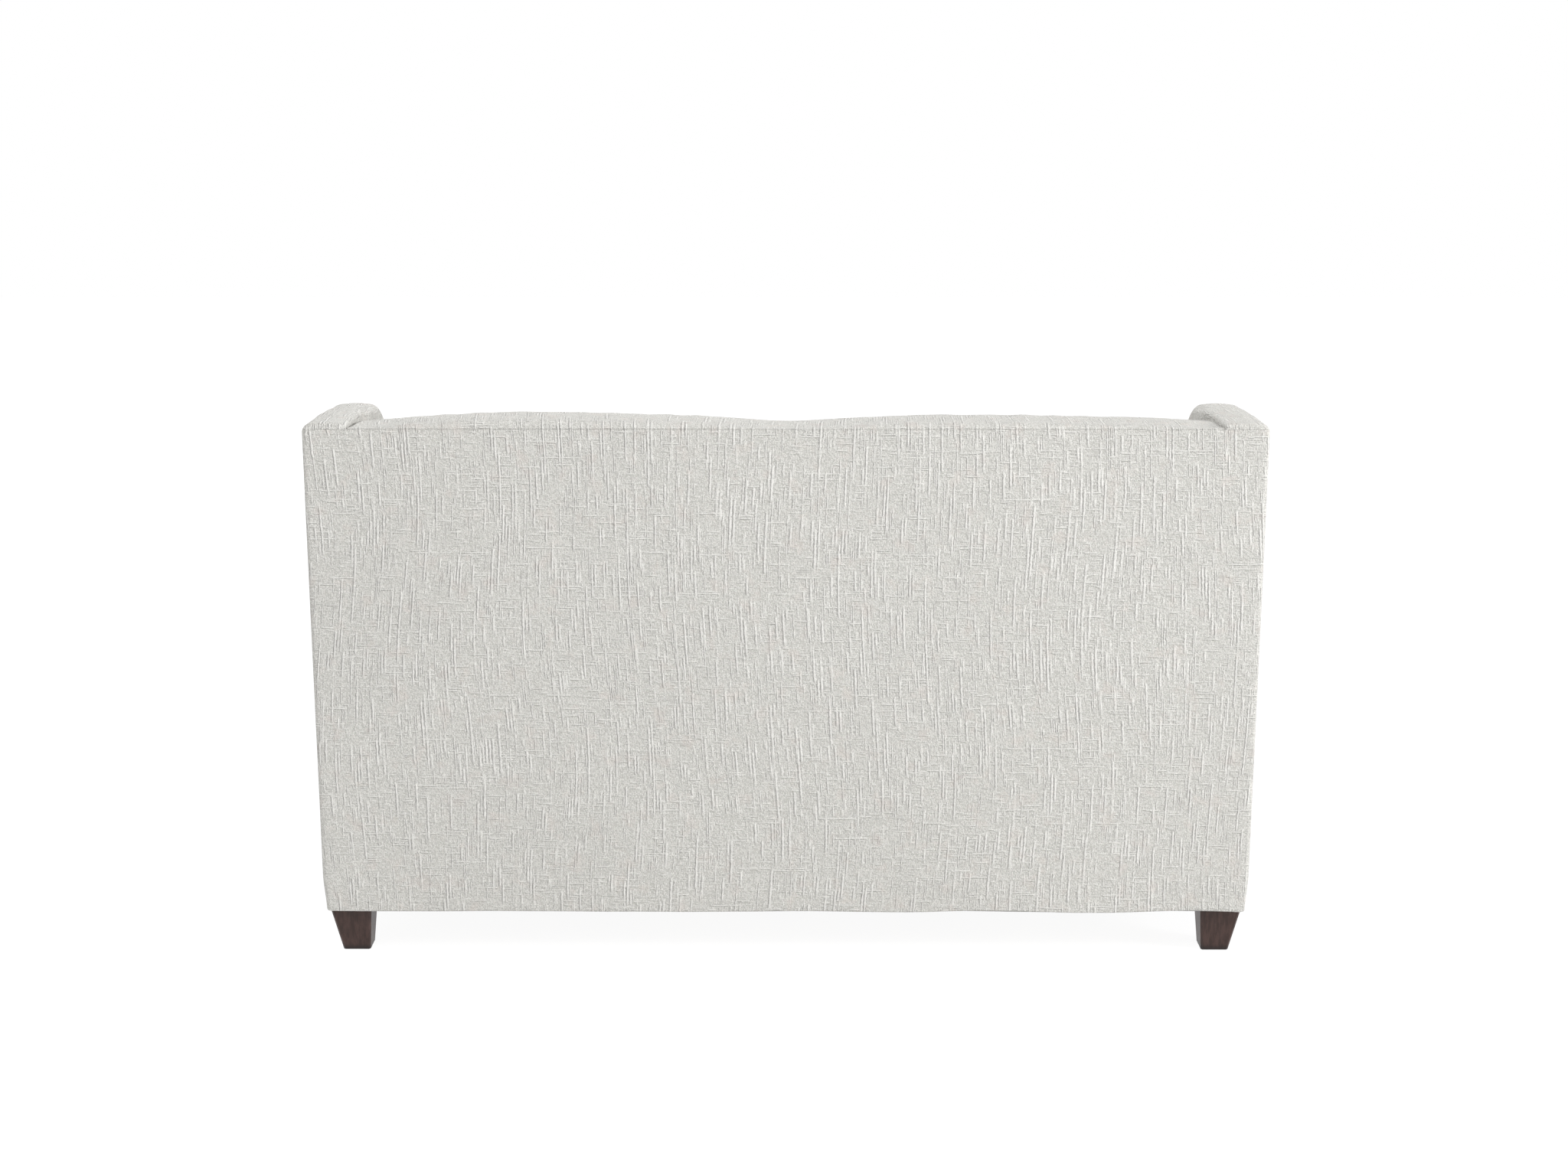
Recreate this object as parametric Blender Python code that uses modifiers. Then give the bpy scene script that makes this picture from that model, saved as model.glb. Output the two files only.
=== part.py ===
"""Reclining loveseat: a fixed upholstered shell with two seats that recline inside it.

Metres, +Z up, +X to the right of someone facing the loveseat, front towards -Y.
The origin is on the floor, under the middle of the whole piece.
Each seat hangs on swing links that carry it forward as its back tilts, so the
fixed outside back never moves, and its leg rest folds out on a scissor linkage.
"""

import math

import bmesh
import bpy
from mathutils import Matrix, Vector

# Whole loveseat
WIDTH = 1.63
DEPTH = 0.97
FIT = 0.0003
OVERRUN = 0.01
WELD_DISTANCE = 0.00001

# Legs
LEG_HEIGHT = 0.08
LEG_TOP = 0.072
LEG_FOOT = 0.048
LEG_FOOT_SHIFT = 0.006
LEG_EDGE = 0.003
LEG_SIDE_INSET = 0.007
LEG_BACK_INSET = 0.015
LEG_FRONT_INSET = 0.03

# Fixed outside back
BACK_PAD = 0.04
BACK_PAD_EDGE = 0.014
SEAM_HEIGHT = 0.941
SHELL_PLY = 0.0164
CROWN_DEPTH = 0.041
SHELL_WINDOW_WIDTH = 0.3
SHELL_WINDOW_HEIGHT = 0.32
SHELL_WEB = 0.045
SHELL_WINDOW_SILL = 0.06

# Crown pad on top of the back
CROWN_FRONT_REACH = 0.085
CROWN_HUMP = 0.013
CROWN_EDGE_HEIGHT = 0.003
CROWN_STATIONS = 15
CROWN_HUMP_POWER = 3

# Arms
ARM_THICKNESS = 0.1
WING_THICKNESS = 0.073
ARM_FRONT_INSET = 0.01
ARM_TOP_HEIGHT = 0.612
WING_RISE = 0.01
WING_TAPER_RISE = 0.008
WING_PADDING = 0.008
ARM_EDGE = 0.018
ARM_NOSE = 0.04
WING_CREST_INSET = 0.0447
WING_REAR_FALL = 0.005
WING_DEPTH = 0.1947
ARM_LEVEL_LENGTH = 0.325
WING_SWEEP_STEPS = 12

# Frame panel inside each arm
ARM_PLY = 0.03
ARM_PADDING = 0.03
ARM_WINDOW = 0.125
ARM_WINDOW_HEIGHT = 0.13
ARM_WEB = 0.04
ARM_END_WEB = 0.03
ARM_WINDOW_SILL = 0.06

# Base rails
RAIL_HEIGHT = 0.032
RAIL_DEPTH = 0.03
CENTRE_RAIL_WIDTH = 0.056
FRONT_RAIL_SETBACK = 0.262

# Seat
SEAT_CENTRE_GAP = 0.008
SEAT_SIDE_GAP = 0.006
DECK_THICKNESS = 0.014
DECK_MEMBER = 0.034
DECK_FRONT_INSET = 0.06
DECK_REAR_SETBACK = 0.032
SEAT_CUSHION_THICKNESS = 0.135
SEAT_CROWN = 0.018
SEAT_NOSE = 0.012
SEAT_LIP_DROP = 0.01
CUSHION_DRAW = 0.008

# Springs in the deck
SPRING_COUNT = 4
SPRING_WIRE_RADIUS = 0.002
SPRING_HALF_WIDTH = 0.02
SPRING_HALF_WAVES = 10
SPRING_BEND_SHARE = 0.3
SPRING_SIDES_LEVEL = 0

# Steel straps and their lanes, counted from the outer plate inwards
STRAP = 0.004
STRAP_HALF_WIDTH = 0.011
LANE_PITCH = 0.008
LANE_SIDE_SETBACK = 0.0215
PIN_RADIUS = 0.004
PIN_HEAD_RADIUS = 0.0075
PIN_HEAD = 0.0022
PIN_SIDES = 8
ARC_STEPS = 4
CROSS_TUBE_RADIUS = 0.008

# Loose pivots, where a loop of links closes
BACK_LOOP_PLAY = 0.0005
REAR_LOOP_PLAY = 0.0005
REST_LOOP_PLAY = 0.0017

# Fixed plates under each seat
PLATE_CREST = 0.017
PLATE_NOSE = 0.042
FLANGE_WIDTH = 0.016
FLANGE_THICKNESS = 0.004

# Swing links
SWING_LENGTH = 0.19
SWING_LEAN_DEGREES = 38
SWING_FRONT_SETBACK = 0.208
SWING_REAR_SETBACK = 0.17
SWING_BASE_RISE = 0.053
SWING_TOP_DROP = 0.0233

# Carriage plates under the deck
CARRIAGE_DEPTH = 0.056
CARRIAGE_FRONT_NOSE = 0.016
CARRIAGE_UPRIGHT_WIDTH = 0.05
CARRIAGE_UPRIGHT_RISE = 0.067
CARRIAGE_ROOT_RISE = 0.007

# Reclining back
BACK_PIVOT_SETBACK = 0.028
BACK_PIVOT_RISE = 0.047
BACK_DRIVE_TOP_REACH = 0.0041
BACK_DRIVE_TOP_DROP = 0.046
BACK_DRIVE_BASE_SETBACK = 0.1209
BACK_PANEL_CLEARANCE = 0.085
BACK_PANEL = 0.015
BACK_PANEL_FOOT_RISE = 0.035
BACK_PANEL_TOP_DROP = 0.026
BACK_WINDOW_WIDTH = 0.13
BACK_WINDOW_HEIGHT = 0.12
BACK_WINDOW_SILL = 0.13
BACK_WEB = 0.045
BRACKET_RISE = 0.195
BRACKET_BEND_RISE = 0.065
BACK_CUSHION_GAP = 0.007
BACK_CUSHION_TOP_DROP = 0.027
BACK_CUSHION_BASE_DEPTH = 0.235
BACK_CUSHION_TOP_DEPTH = 0.155
BACK_CUSHION_CROWN = 0.02
BACK_CHANNEL = 0.022

# Leg rest
BOARD = 0.015
BOARD_SIDE_SETBACK = 0.0175
BOARD_TOP_DROP = 0.013
BOARD_FOOT_RISE = 0.02
PAD_THICKNESS = 0.0417
PAD_CROWN = 0.012
PAD_TOP_OVERLAP = 0.006
PAD_FOOT_OVERLAP = 0.004
REST_FLANGE_WIDTH = 0.02
REST_BRACKET_REACH = 0.012

# Leg-rest pivots in the folded state, as reach behind the board and drop below the deck
REST_REAR_PIVOT = (0.0876, 0.0418)
REST_FRONT_PIVOT = (0.0416, 0.0259)
REST_CROSSING = (0.1884, 0.1602)
REST_REAR_JOINT = (0.2357, 0.1762)
REST_LOWER_JOINT = (0.198, 0.2031)
REST_UPPER_BRACKET = (0.0199, 0.0329)
REST_LOWER_BRACKET = (0.028, 0.0812)

# Release lever on each arm's inner side
LEVER_SETBACK = 0.355
LEVER_DROP = 0.028
LEVER_THICKNESS = 0.01
LEVER_HUB_RADIUS = 0.016
LEVER_REACH = 0.075
LEVER_DROOP = 0.008
LEVER_HALF_WIDTH = 0.009

# Loops across each soft block, as shares of its size
SEAT_LOOP_SHARES = ((0.06, 0.27, 0.73, 0.94), (0.045, 0.068, 0.3, 0.7, 0.93), (0.3, 0.7))
BACK_LOOP_SHARES = ((0.06, 0.5, 0.94), (0.2, 0.8), (0.07, 0.3, 0.345, 0.39, 0.62, 0.665, 0.71, 0.93))
BACK_CHANNEL_SHARES = (0.345, 0.665)
PAD_LOOP_SHARES = ((0.05, 0.27, 0.73, 0.95), (0.5,), (0.1, 0.3, 0.7, 0.9))
SWELL_GAIN_SHARE = 5.2
CHANNEL_REACH_SHARE = 0.02

# Values that several pieces share
HALF_WIDTH = WIDTH / 2
FRONT_Y = -DEPTH / 2
BACK_Y = DEPTH / 2
SHELL_INNER_Y = BACK_Y - BACK_PAD
BASE_TOP = LEG_HEIGHT + RAIL_HEIGHT
ARM_INNER_X = HALF_WIDTH - ARM_THICKNESS
WING_INNER_X = HALF_WIDTH - WING_THICKNESS
ARM_REAR_Y = SHELL_INNER_Y - FIT
ARM_FRONT_Y = FRONT_Y + ARM_FRONT_INSET
ARM_MIDDLE_X = HALF_WIDTH - ARM_THICKNESS / 2
FRAME_INNER_X = WING_INNER_X + WING_PADDING
FRAME_OUTER_X = FRAME_INNER_X + ARM_PLY
SHELL_TOP = SEAM_HEIGHT - CROWN_DEPTH
WING_CREST = SEAM_HEIGHT + WING_RISE
WING_CREST_Y = ARM_REAR_Y - WING_CREST_INSET
WING_SWEEP_TOP_Y = ARM_REAR_Y - WING_DEPTH
WING_SWEEP_FOOT_Y = ARM_FRONT_Y + ARM_LEVEL_LENGTH
WING_TAPER_START = ARM_TOP_HEIGHT + WING_TAPER_RISE
LEVER_Y = ARM_FRONT_Y + LEVER_SETBACK
LEVER_HEIGHT = ARM_TOP_HEIGHT - LEVER_DROP
SEAT_INNER_X = SEAT_CENTRE_GAP / 2
SEAT_OUTER_X = ARM_INNER_X - SEAT_SIDE_GAP
SEAT_HALF_WIDTH = (SEAT_OUTER_X - SEAT_INNER_X) / 2
SEAT_CENTRE_X = (SEAT_OUTER_X + SEAT_INNER_X) / 2
FIXED_LANE_OFFSET = SEAT_HALF_WIDTH - LANE_SIDE_SETBACK
DECK_HALF_WIDTH = FIXED_LANE_OFFSET - STRAP
BOARD_HALF_WIDTH = SEAT_HALF_WIDTH - BOARD_SIDE_SETBACK
SHELL_PLY_REAR_Y = SHELL_INNER_Y - FIT
SHELL_PLY_FRONT_Y = SHELL_PLY_REAR_Y - SHELL_PLY
REAR_RAIL_Y = SHELL_PLY_FRONT_Y - FIT
FRONT_RAIL_FRONT_Y = FRONT_Y + FRONT_RAIL_SETBACK
BOARD_REAR_Y = FRONT_Y + PAD_THICKNESS + FIT + BOARD

# Heights and depths of the mechanism, from the base rails up and from the back forwards
SWING_LEAN = math.radians(SWING_LEAN_DEGREES)
SWING_REACH = SWING_LENGTH * math.sin(SWING_LEAN)
SWING_BASE_HEIGHT = BASE_TOP + SWING_BASE_RISE
SWING_TOP_HEIGHT = SWING_BASE_HEIGHT + SWING_LENGTH * math.cos(SWING_LEAN)
DECK_UNDERSIDE = SWING_TOP_HEIGHT + SWING_TOP_DROP
DECK_TOP = DECK_UNDERSIDE + DECK_THICKNESS
SEAT_CUSHION_TOP = DECK_TOP + SEAT_CUSHION_THICKNESS
BACK_PANEL_REAR_Y = REAR_RAIL_Y - BACK_PANEL_CLEARANCE
BACK_PANEL_FRONT_Y = BACK_PANEL_REAR_Y - BACK_PANEL
BACK_PIVOT = (BACK_PANEL_FRONT_Y - BACK_PIVOT_SETBACK, DECK_UNDERSIDE + BACK_PIVOT_RISE)
BACK_DRIVE_TOP = (BACK_PIVOT[0] + BACK_DRIVE_TOP_REACH, BACK_PIVOT[1] - BACK_DRIVE_TOP_DROP)
BACK_DRIVE_BASE = (BACK_PIVOT[0] - BACK_DRIVE_BASE_SETBACK, SWING_BASE_HEIGHT)
DECK_REAR = BACK_PIVOT[0] - DECK_REAR_SETBACK
CARRIAGE_REAR_Y = BACK_PIVOT[0] + CARRIAGE_UPRIGHT_WIDTH / 2
SWING_FRONT_BASE_Y = BOARD_REAR_Y + SWING_FRONT_SETBACK
SWING_REAR_BASE_Y = BACK_PIVOT[0] - SWING_REAR_SETBACK
PLATE_FRONT_Y = SWING_FRONT_BASE_Y - PLATE_NOSE
PLATE_TOP = SWING_BASE_HEIGHT + PLATE_CREST
BRACKET_BEND = BACK_PIVOT[1] + BRACKET_BEND_RISE
BRACKET_TOP = BACK_PIVOT[1] + BRACKET_RISE
BACK_CUSHION_BOTTOM = SEAT_CUSHION_TOP + SEAT_CROWN + BACK_CUSHION_GAP
BACK_CUSHION_TOP = SEAM_HEIGHT - BACK_CUSHION_TOP_DROP
BACK_PANEL_BOTTOM = BACK_PIVOT[1] + BACK_PANEL_FOOT_RISE
BACK_PANEL_TOP = BACK_CUSHION_TOP - BACK_PANEL_TOP_DROP
BOARD_TOP = DECK_UNDERSIDE - BOARD_TOP_DROP
BOARD_BOTTOM = LEG_HEIGHT + BOARD_FOOT_RISE
PAD_TOP = BOARD_TOP + PAD_TOP_OVERLAP
PAD_BOTTOM = BOARD_BOTTOM - PAD_FOOT_OVERLAP

FABRIC = ("fabric", (0.56, 0.54, 0.51), 0.95, 0.0)
PLYWOOD = ("plywood", (0.62, 0.45, 0.27), 0.7, 0.0)
STEEL = ("steel", (0.09, 0.09, 0.1), 0.45, 0.9)
ESPRESSO = ("espresso_wood", (0.035, 0.022, 0.017), 0.4, 0.0)


# Scene and materials

def clear_scene():
    for item in list(bpy.data.objects):
        bpy.data.objects.remove(item, do_unlink=True)


def new_collection(name):
    collection = bpy.data.collections.new(name)
    bpy.context.scene.collection.children.link(collection)
    return collection


def material_for(name, finish):
    label, colour, roughness, metallic = finish
    material = bpy.data.materials.new(name + "_" + label)
    material.use_nodes = True
    shader = material.node_tree.nodes["Principled BSDF"]
    shader.inputs["Base Color"].default_value = (*colour, 1.0)
    shader.inputs["Roughness"].default_value = roughness
    shader.inputs["Metallic"].default_value = metallic
    return material


def finish_piece(piece, name, finish, carrier=None):
    """Name a solid, give it its material and hang it on its joint's empty."""
    piece.name = name
    piece.data.name = name
    piece.data.materials.clear()
    piece.data.materials.append(material_for(name, finish))
    if carrier is not None:
        piece.parent = carrier
        piece.matrix_parent_inverse = Matrix.Translation(-world_place(carrier))
    return piece


def world_place(empty):
    place = Vector(empty.location)
    while empty.parent is not None:
        empty = empty.parent
        place += empty.location
    return place


def joint_empty(name, place, parent=None):
    """An empty on a joint's axis, at a world place."""
    empty = bpy.data.objects.new(name, None)
    PARTS.objects.link(empty)
    if parent is None:
        empty.location = place
    else:
        empty.parent = parent
        empty.location = Vector(place) - world_place(parent)
    return empty


# Basic solids, all in world coordinates

def object_from(bm, name="solid"):
    bmesh.ops.recalc_face_normals(bm, faces=bm.faces)
    mesh = bpy.data.meshes.new(name)
    bm.to_mesh(mesh)
    bm.free()
    piece = bpy.data.objects.new(name, mesh)
    PARTS.objects.link(piece)
    return piece


def box(low, high):
    low, high = Vector(low), Vector(high)
    bm = bmesh.new()
    bmesh.ops.create_cube(bm, size=1)
    for vertex in bm.verts:
        vertex.co = (low + high) / 2 + vertex.co * (high - low)
    return object_from(bm)


def rod(from_x, to_x, centre, radius):
    """A round bar along X, with its middle at (y, z)."""
    bm = bmesh.new()
    turn = Matrix.Rotation(math.radians(90), 4, "Y")
    place = Matrix.Translation(((from_x + to_x) / 2, centre[0], centre[1]))
    bmesh.ops.create_cone(
        bm,
        cap_ends=True,
        segments=PIN_SIDES,
        radius1=radius,
        radius2=radius,
        depth=abs(to_x - from_x),
        matrix=place @ turn,
    )
    return object_from(bm)


def mesh_from_curve(curve_object):
    """The closed mesh of a curve object, its caps welded."""
    bpy.context.view_layer.update()
    graph = bpy.context.evaluated_depsgraph_get()
    mesh = bpy.data.meshes.new_from_object(curve_object.evaluated_get(graph))
    mesh.transform(curve_object.matrix_world)
    bpy.data.objects.remove(curve_object)
    bm = bmesh.new()
    bm.from_mesh(mesh)
    bmesh.ops.remove_doubles(bm, verts=bm.verts, dist=WELD_DISTANCE)
    return object_from(bm)


def flat_curve(splines, thickness):
    curve = bpy.data.curves.new("outline", "CURVE")
    curve.dimensions = "2D"
    curve.fill_mode = "BOTH"
    curve.extrude = thickness / 2
    for points in splines:
        spline = curve.splines.new("POLY")
        spline.points.add(len(points[1:]))
        for slot, (across, up) in zip(spline.points, points):
            slot.co = (across, up, 0, 1)
        spline.use_cyclic_u = True
    return curve


def side_plate(splines, from_x, to_x):
    """A plate in the side plane: a rim and its holes as (y, z), between two values of x."""
    curve_object = bpy.data.objects.new("plate", flat_curve(splines, abs(to_x - from_x)))
    PARTS.objects.link(curve_object)
    turn = Matrix(((0, 0, 1, (from_x + to_x) / 2), (1, 0, 0, 0), (0, 1, 0, 0), (0, 0, 0, 1)))
    curve_object.matrix_world = turn
    return mesh_from_curve(curve_object)


def front_plate(splines, from_y, to_y):
    """A plate in the front plane: a rim and its holes as (x, z), between two values of y."""
    curve_object = bpy.data.objects.new("plate", flat_curve(splines, abs(to_y - from_y)))
    PARTS.objects.link(curve_object)
    turn = Matrix(((1, 0, 0, 0), (0, 0, -1, (from_y + to_y) / 2), (0, 1, 0, 0), (0, 0, 0, 1)))
    curve_object.matrix_world = turn
    return mesh_from_curve(curve_object)


def level_plate(splines, from_z, to_z):
    """A plate lying flat: a rim and its holes as (x, y), between two heights."""
    curve_object = bpy.data.objects.new("plate", flat_curve(splines, abs(to_z - from_z)))
    PARTS.objects.link(curve_object)
    curve_object.location.z = (from_z + to_z) / 2
    return mesh_from_curve(curve_object)


def combine(base, others, operation="UNION"):
    """Join other solids to a base, or cut them from it, with exact Booleans."""
    for other in others:
        modifier = base.modifiers.new("combine", "BOOLEAN")
        modifier.operation = operation
        modifier.solver = "EXACT"
        modifier.object = other
    bpy.context.view_layer.update()
    graph = bpy.context.evaluated_depsgraph_get()
    mesh = bpy.data.meshes.new_from_object(base.evaluated_get(graph))
    base.modifiers.clear()
    base.data = mesh
    for other in others:
        bpy.data.objects.remove(other)
    return base


def cut(base, cutters):
    return combine(base, cutters, "DIFFERENCE")


def rectangle(left, bottom, width, height):
    return [
        (left, bottom),
        (left + width, bottom),
        (left + width, bottom + height),
        (left, bottom + height),
    ]


def circle(centre, radius):
    points = []
    for step in range(PIN_SIDES):
        angle = math.tau * step / PIN_SIDES
        points.append((centre[0] + radius * math.cos(angle), centre[1] + radius * math.sin(angle)))
    return points


def running_hole(centre, play=0.0):
    """A hole whose flats clear a pin by the fit, and by any play of a loose pivot."""
    return circle(centre, (PIN_RADIUS + FIT + play) / math.cos(math.pi / PIN_SIDES))


def arc(centre, radius, start, sweep):
    points = []
    for step in range(ARC_STEPS + 1):
        angle = start + sweep * step / ARC_STEPS
        points.append((centre[0] + radius * math.cos(angle), centre[1] + radius * math.sin(angle)))
    return points


def bar_rim(path, half_width):
    """The rim of a flat bar along a path, with round ends and mitred bends."""
    path = [Vector(point) for point in path]
    runs = [(end - start).normalized() for start, end in zip(path, path[1:])]
    left_corners = []
    for before, after, corner in zip(runs, runs[1:], path[1:-1]):
        sides = (before.orthogonal(), after.orthogonal())
        mitre = (sides[0] + sides[1]) / (1 + sides[0].dot(sides[1]))
        left_corners.append((corner + mitre * half_width, corner - mitre * half_width))
    start_angle = math.atan2(runs[0].y, runs[0].x)
    end_angle = math.atan2(runs[-1].y, runs[-1].x)
    rim = arc(path[0], half_width, start_angle + math.pi / 2, math.pi)
    rim += [tuple(right) for left, right in left_corners]
    rim += arc(path[-1], half_width, end_angle - math.pi / 2, math.pi)
    rim += [tuple(left) for left, right in reversed(left_corners)]
    return rim


# Soft blocks

def swell(share):
    """Nought at both edges and one over the middle plateau."""
    return min(1.0, SWELL_GAIN_SHARE * share * (1 - share))


def soft_block(low, high, loop_shares, shape):
    """A block cut by loops, moved by a shaping rule, and rounded by subdivision."""
    low, high = Vector(low), Vector(high)
    bm = bmesh.new()
    bmesh.ops.create_cube(bm, size=1)
    for vertex in bm.verts:
        vertex.co = (vertex.co[0] + 1 / 2, vertex.co[1] + 1 / 2, vertex.co[2] + 1 / 2)
    for axis, shares in enumerate(loop_shares):
        normal = Vector()
        normal[axis] = 1
        for share in shares:
            everything = bm.verts[:] + bm.edges[:] + bm.faces[:]
            bmesh.ops.bisect_plane(bm, geom=everything, plane_co=normal * share, plane_no=normal)
    for vertex in bm.verts:
        share = vertex.co.copy()
        vertex.co = low + share * (high - low)
        vertex.co += shape(share)
    piece = object_from(bm)
    rounding = piece.modifiers.new("rounding", "SUBSURF")
    rounding.levels = 1
    rounding.render_levels = 1
    rounding.use_limit_surface = False
    return piece


def draw_in(share):
    """How far a side is drawn in at its corners, towards the middle of the block."""
    across = (1 / 2 - share[0]) * 2
    amount = 1 - min(swell(share[1]), swell(share[2]))
    return Vector((CUSHION_DRAW * amount * across, 0, 0))


def seat_cushion_shape(share):
    crown = SEAT_CROWN * (swell(share[0]) * swell(share[1]) - 1) * share[2]
    at_front = share[1] == 0
    nose = SEAT_NOSE * (1 - swell(share[2])) * at_front
    lip = SEAT_LIP_DROP * (at_front and share[2] == 0)
    return draw_in(share) + Vector((0, nose, crown - lip))


def back_cushion_shape(share):
    channel = 0.0
    for place in BACK_CHANNEL_SHARES:
        if abs(share[2] - place) < CHANNEL_REACH_SHARE:
            channel = BACK_CHANNEL
    crown = BACK_CUSHION_CROWN * (1 - swell(share[0]) * swell(share[2]))
    lean = (BACK_CUSHION_BASE_DEPTH - BACK_CUSHION_TOP_DEPTH) * share[2]
    return draw_in(share) + Vector((0, (channel + crown + lean) * (1 - share[1]), 0))


def pad_shape(share):
    crown = PAD_CROWN * (1 - swell(share[0]) * swell(share[2])) * (1 - share[1])
    return Vector((0, crown, 0))


# Fixed shell

def legs():
    leg_x = HALF_WIDTH - LEG_SIDE_INSET - LEG_TOP / 2
    back_y = BACK_Y - LEG_BACK_INSET - LEG_TOP / 2
    front_y = ARM_FRONT_Y + LEG_FRONT_INSET + LEG_TOP / 2
    for side, side_name in ((-1, "left"), (1, "right")):
        for leg_y, end_name in ((front_y, "front"), (back_y, "rear")):
            bm = bmesh.new()
            bmesh.ops.create_cone(
                bm,
                cap_ends=True,
                segments=4,
                radius1=LEG_FOOT / math.sqrt(2),
                radius2=LEG_TOP / math.sqrt(2),
                depth=LEG_HEIGHT - FIT,
                matrix=Matrix.Rotation(math.radians(45), 4, "Z"),
            )
            for vertex in bm.verts:
                if vertex.co.z < 0:
                    vertex.co.x -= side * LEG_FOOT_SHIFT
                vertex.co += Vector((side * leg_x, leg_y, (LEG_HEIGHT - FIT) / 2))
            upright_edges = [edge for edge in bm.edges if edge.verts[0].co.z != edge.verts[1].co.z]
            bmesh.ops.bevel(bm, geom=upright_edges, offset=LEG_EDGE, segments=1, affect="EDGES")
            finish_piece(object_from(bm), side_name + "_" + end_name + "_leg", ESPRESSO)


def arm_top(y):
    """Height of the arm's top at a depth: the wing, its sweep down and the level arm."""
    down = min(1.0, max(0.0, (WING_SWEEP_TOP_Y - y) / (WING_SWEEP_TOP_Y - WING_SWEEP_FOOT_Y)))
    rear_fall = WING_REAR_FALL * max(0.0, (y - WING_CREST_Y) / (ARM_REAR_Y - WING_CREST_Y)) ** 2
    return WING_CREST - rear_fall - (WING_CREST - ARM_TOP_HEIGHT) * down * down * (3 - 2 * down)


def arm_outline():
    """The arm's rim seen from the side, as (y, z)."""
    rim = [(ARM_REAR_Y, LEG_HEIGHT), (ARM_REAR_Y, arm_top(ARM_REAR_Y)), (WING_CREST_Y, WING_CREST)]
    for step in range(WING_SWEEP_STEPS + 1):
        y = WING_SWEEP_TOP_Y + (WING_SWEEP_FOOT_Y - WING_SWEEP_TOP_Y) * step / WING_SWEEP_STEPS
        rim.append((y, arm_top(y)))
    nose_centre = (ARM_FRONT_Y + ARM_NOSE, ARM_TOP_HEIGHT - ARM_NOSE)
    rim += arc(nose_centre, ARM_NOSE, math.pi / 2, math.pi / 2)
    rim.append((ARM_FRONT_Y, LEG_HEIGHT))
    return rim


def arm_frame_rim(grow=0.0, foot_overrun=0.0):
    """The plywood panel's rim, which the pocket repeats with a little growth."""
    rear = ARM_REAR_Y - ARM_PADDING + grow
    front = ARM_FRONT_Y + ARM_PADDING - grow
    wing_top = WING_CREST - ARM_PADDING - ARM_EDGE + grow
    arm_top = ARM_TOP_HEIGHT - ARM_PADDING + grow
    wing_share, foot_share = 0.21, 0.44
    length = ARM_REAR_Y - ARM_FRONT_Y
    foot = LEG_HEIGHT - foot_overrun
    return [
        (rear, foot),
        (rear, wing_top),
        (ARM_REAR_Y - length * wing_share - grow, wing_top),
        (ARM_REAR_Y - length * foot_share - grow, arm_top),
        (front, arm_top),
        (front, foot),
    ]


def arm_windows():
    """Lightening holes: a row of pairs in the arm and a stack in the wing."""
    windows = []
    pitch = ARM_WINDOW + ARM_WEB
    rise = ARM_WINDOW_HEIGHT + ARM_WEB
    first = ARM_REAR_Y - ARM_PADDING - ARM_WEB - ARM_WINDOW
    panel_front = ARM_FRONT_Y + ARM_PADDING
    panel_top = WING_CREST - ARM_PADDING - ARM_EDGE
    columns = int((ARM_REAR_Y - ARM_PADDING - panel_front - ARM_END_WEB) / pitch)
    stack_foot = LEG_HEIGHT + ARM_WINDOW_SILL + 2 * rise
    wing_rows = int((panel_top - stack_foot) / rise)
    for column in range(columns):
        for row in range(2):
            low = LEG_HEIGHT + ARM_WINDOW_SILL + row * rise
            windows.append(rectangle(first - column * pitch, low, ARM_WINDOW, ARM_WINDOW_HEIGHT))
    for row in range(wing_rows):
        low = stack_foot + row * rise
        windows.append(rectangle(first, low, ARM_WINDOW, ARM_WINDOW_HEIGHT))
    return windows


def arm_cover_solid():
    """The padded arm at +X, before its pocket is cut."""
    arm = side_plate([arm_outline()], ARM_INNER_X, HALF_WIDTH)
    bm = bmesh.new()
    bm.from_mesh(arm.data)
    bmesh.ops.dissolve_limit(bm, angle_limit=math.radians(1), verts=bm.verts, edges=bm.edges)
    for height in (WING_TAPER_START, SHELL_TOP):
        everything = bm.verts[:] + bm.edges[:] + bm.faces[:]
        bmesh.ops.bisect_plane(bm, geom=everything, plane_co=(0, 0, height), plane_no=(0, 0, 1))
    for vertex in bm.verts:
        above = min(vertex.co.z, SHELL_TOP) - WING_TAPER_START
        if vertex.co.x < ARM_MIDDLE_X and above > 0:
            taper = (ARM_THICKNESS - WING_THICKNESS) / (SHELL_TOP - WING_TAPER_START)
            vertex.co.x += above * taper
    bm.to_mesh(arm.data)
    bm.free()
    edge = arm.modifiers.new("edge", "BEVEL")
    edge.width = ARM_EDGE
    edge.segments = 2
    edge.limit_method = "ANGLE"
    edge.angle_limit = math.radians(40)
    return arm


def mirrored(piece):
    """The same mesh on the other side of the middle plane."""
    bm = bmesh.new()
    bm.from_mesh(piece.data)
    for vertex in bm.verts:
        vertex.co.x = -vertex.co.x
    bmesh.ops.reverse_faces(bm, faces=bm.faces)
    return object_from(bm)


def rail_slot(front, rear):
    """Room for a base rail where it passes under the arm's padding."""
    reach = FRAME_INNER_X + FIT
    low = (0, front - FIT, LEG_HEIGHT - OVERRUN)
    return box(low, (reach, rear + FIT, BASE_TOP + FIT))


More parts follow.
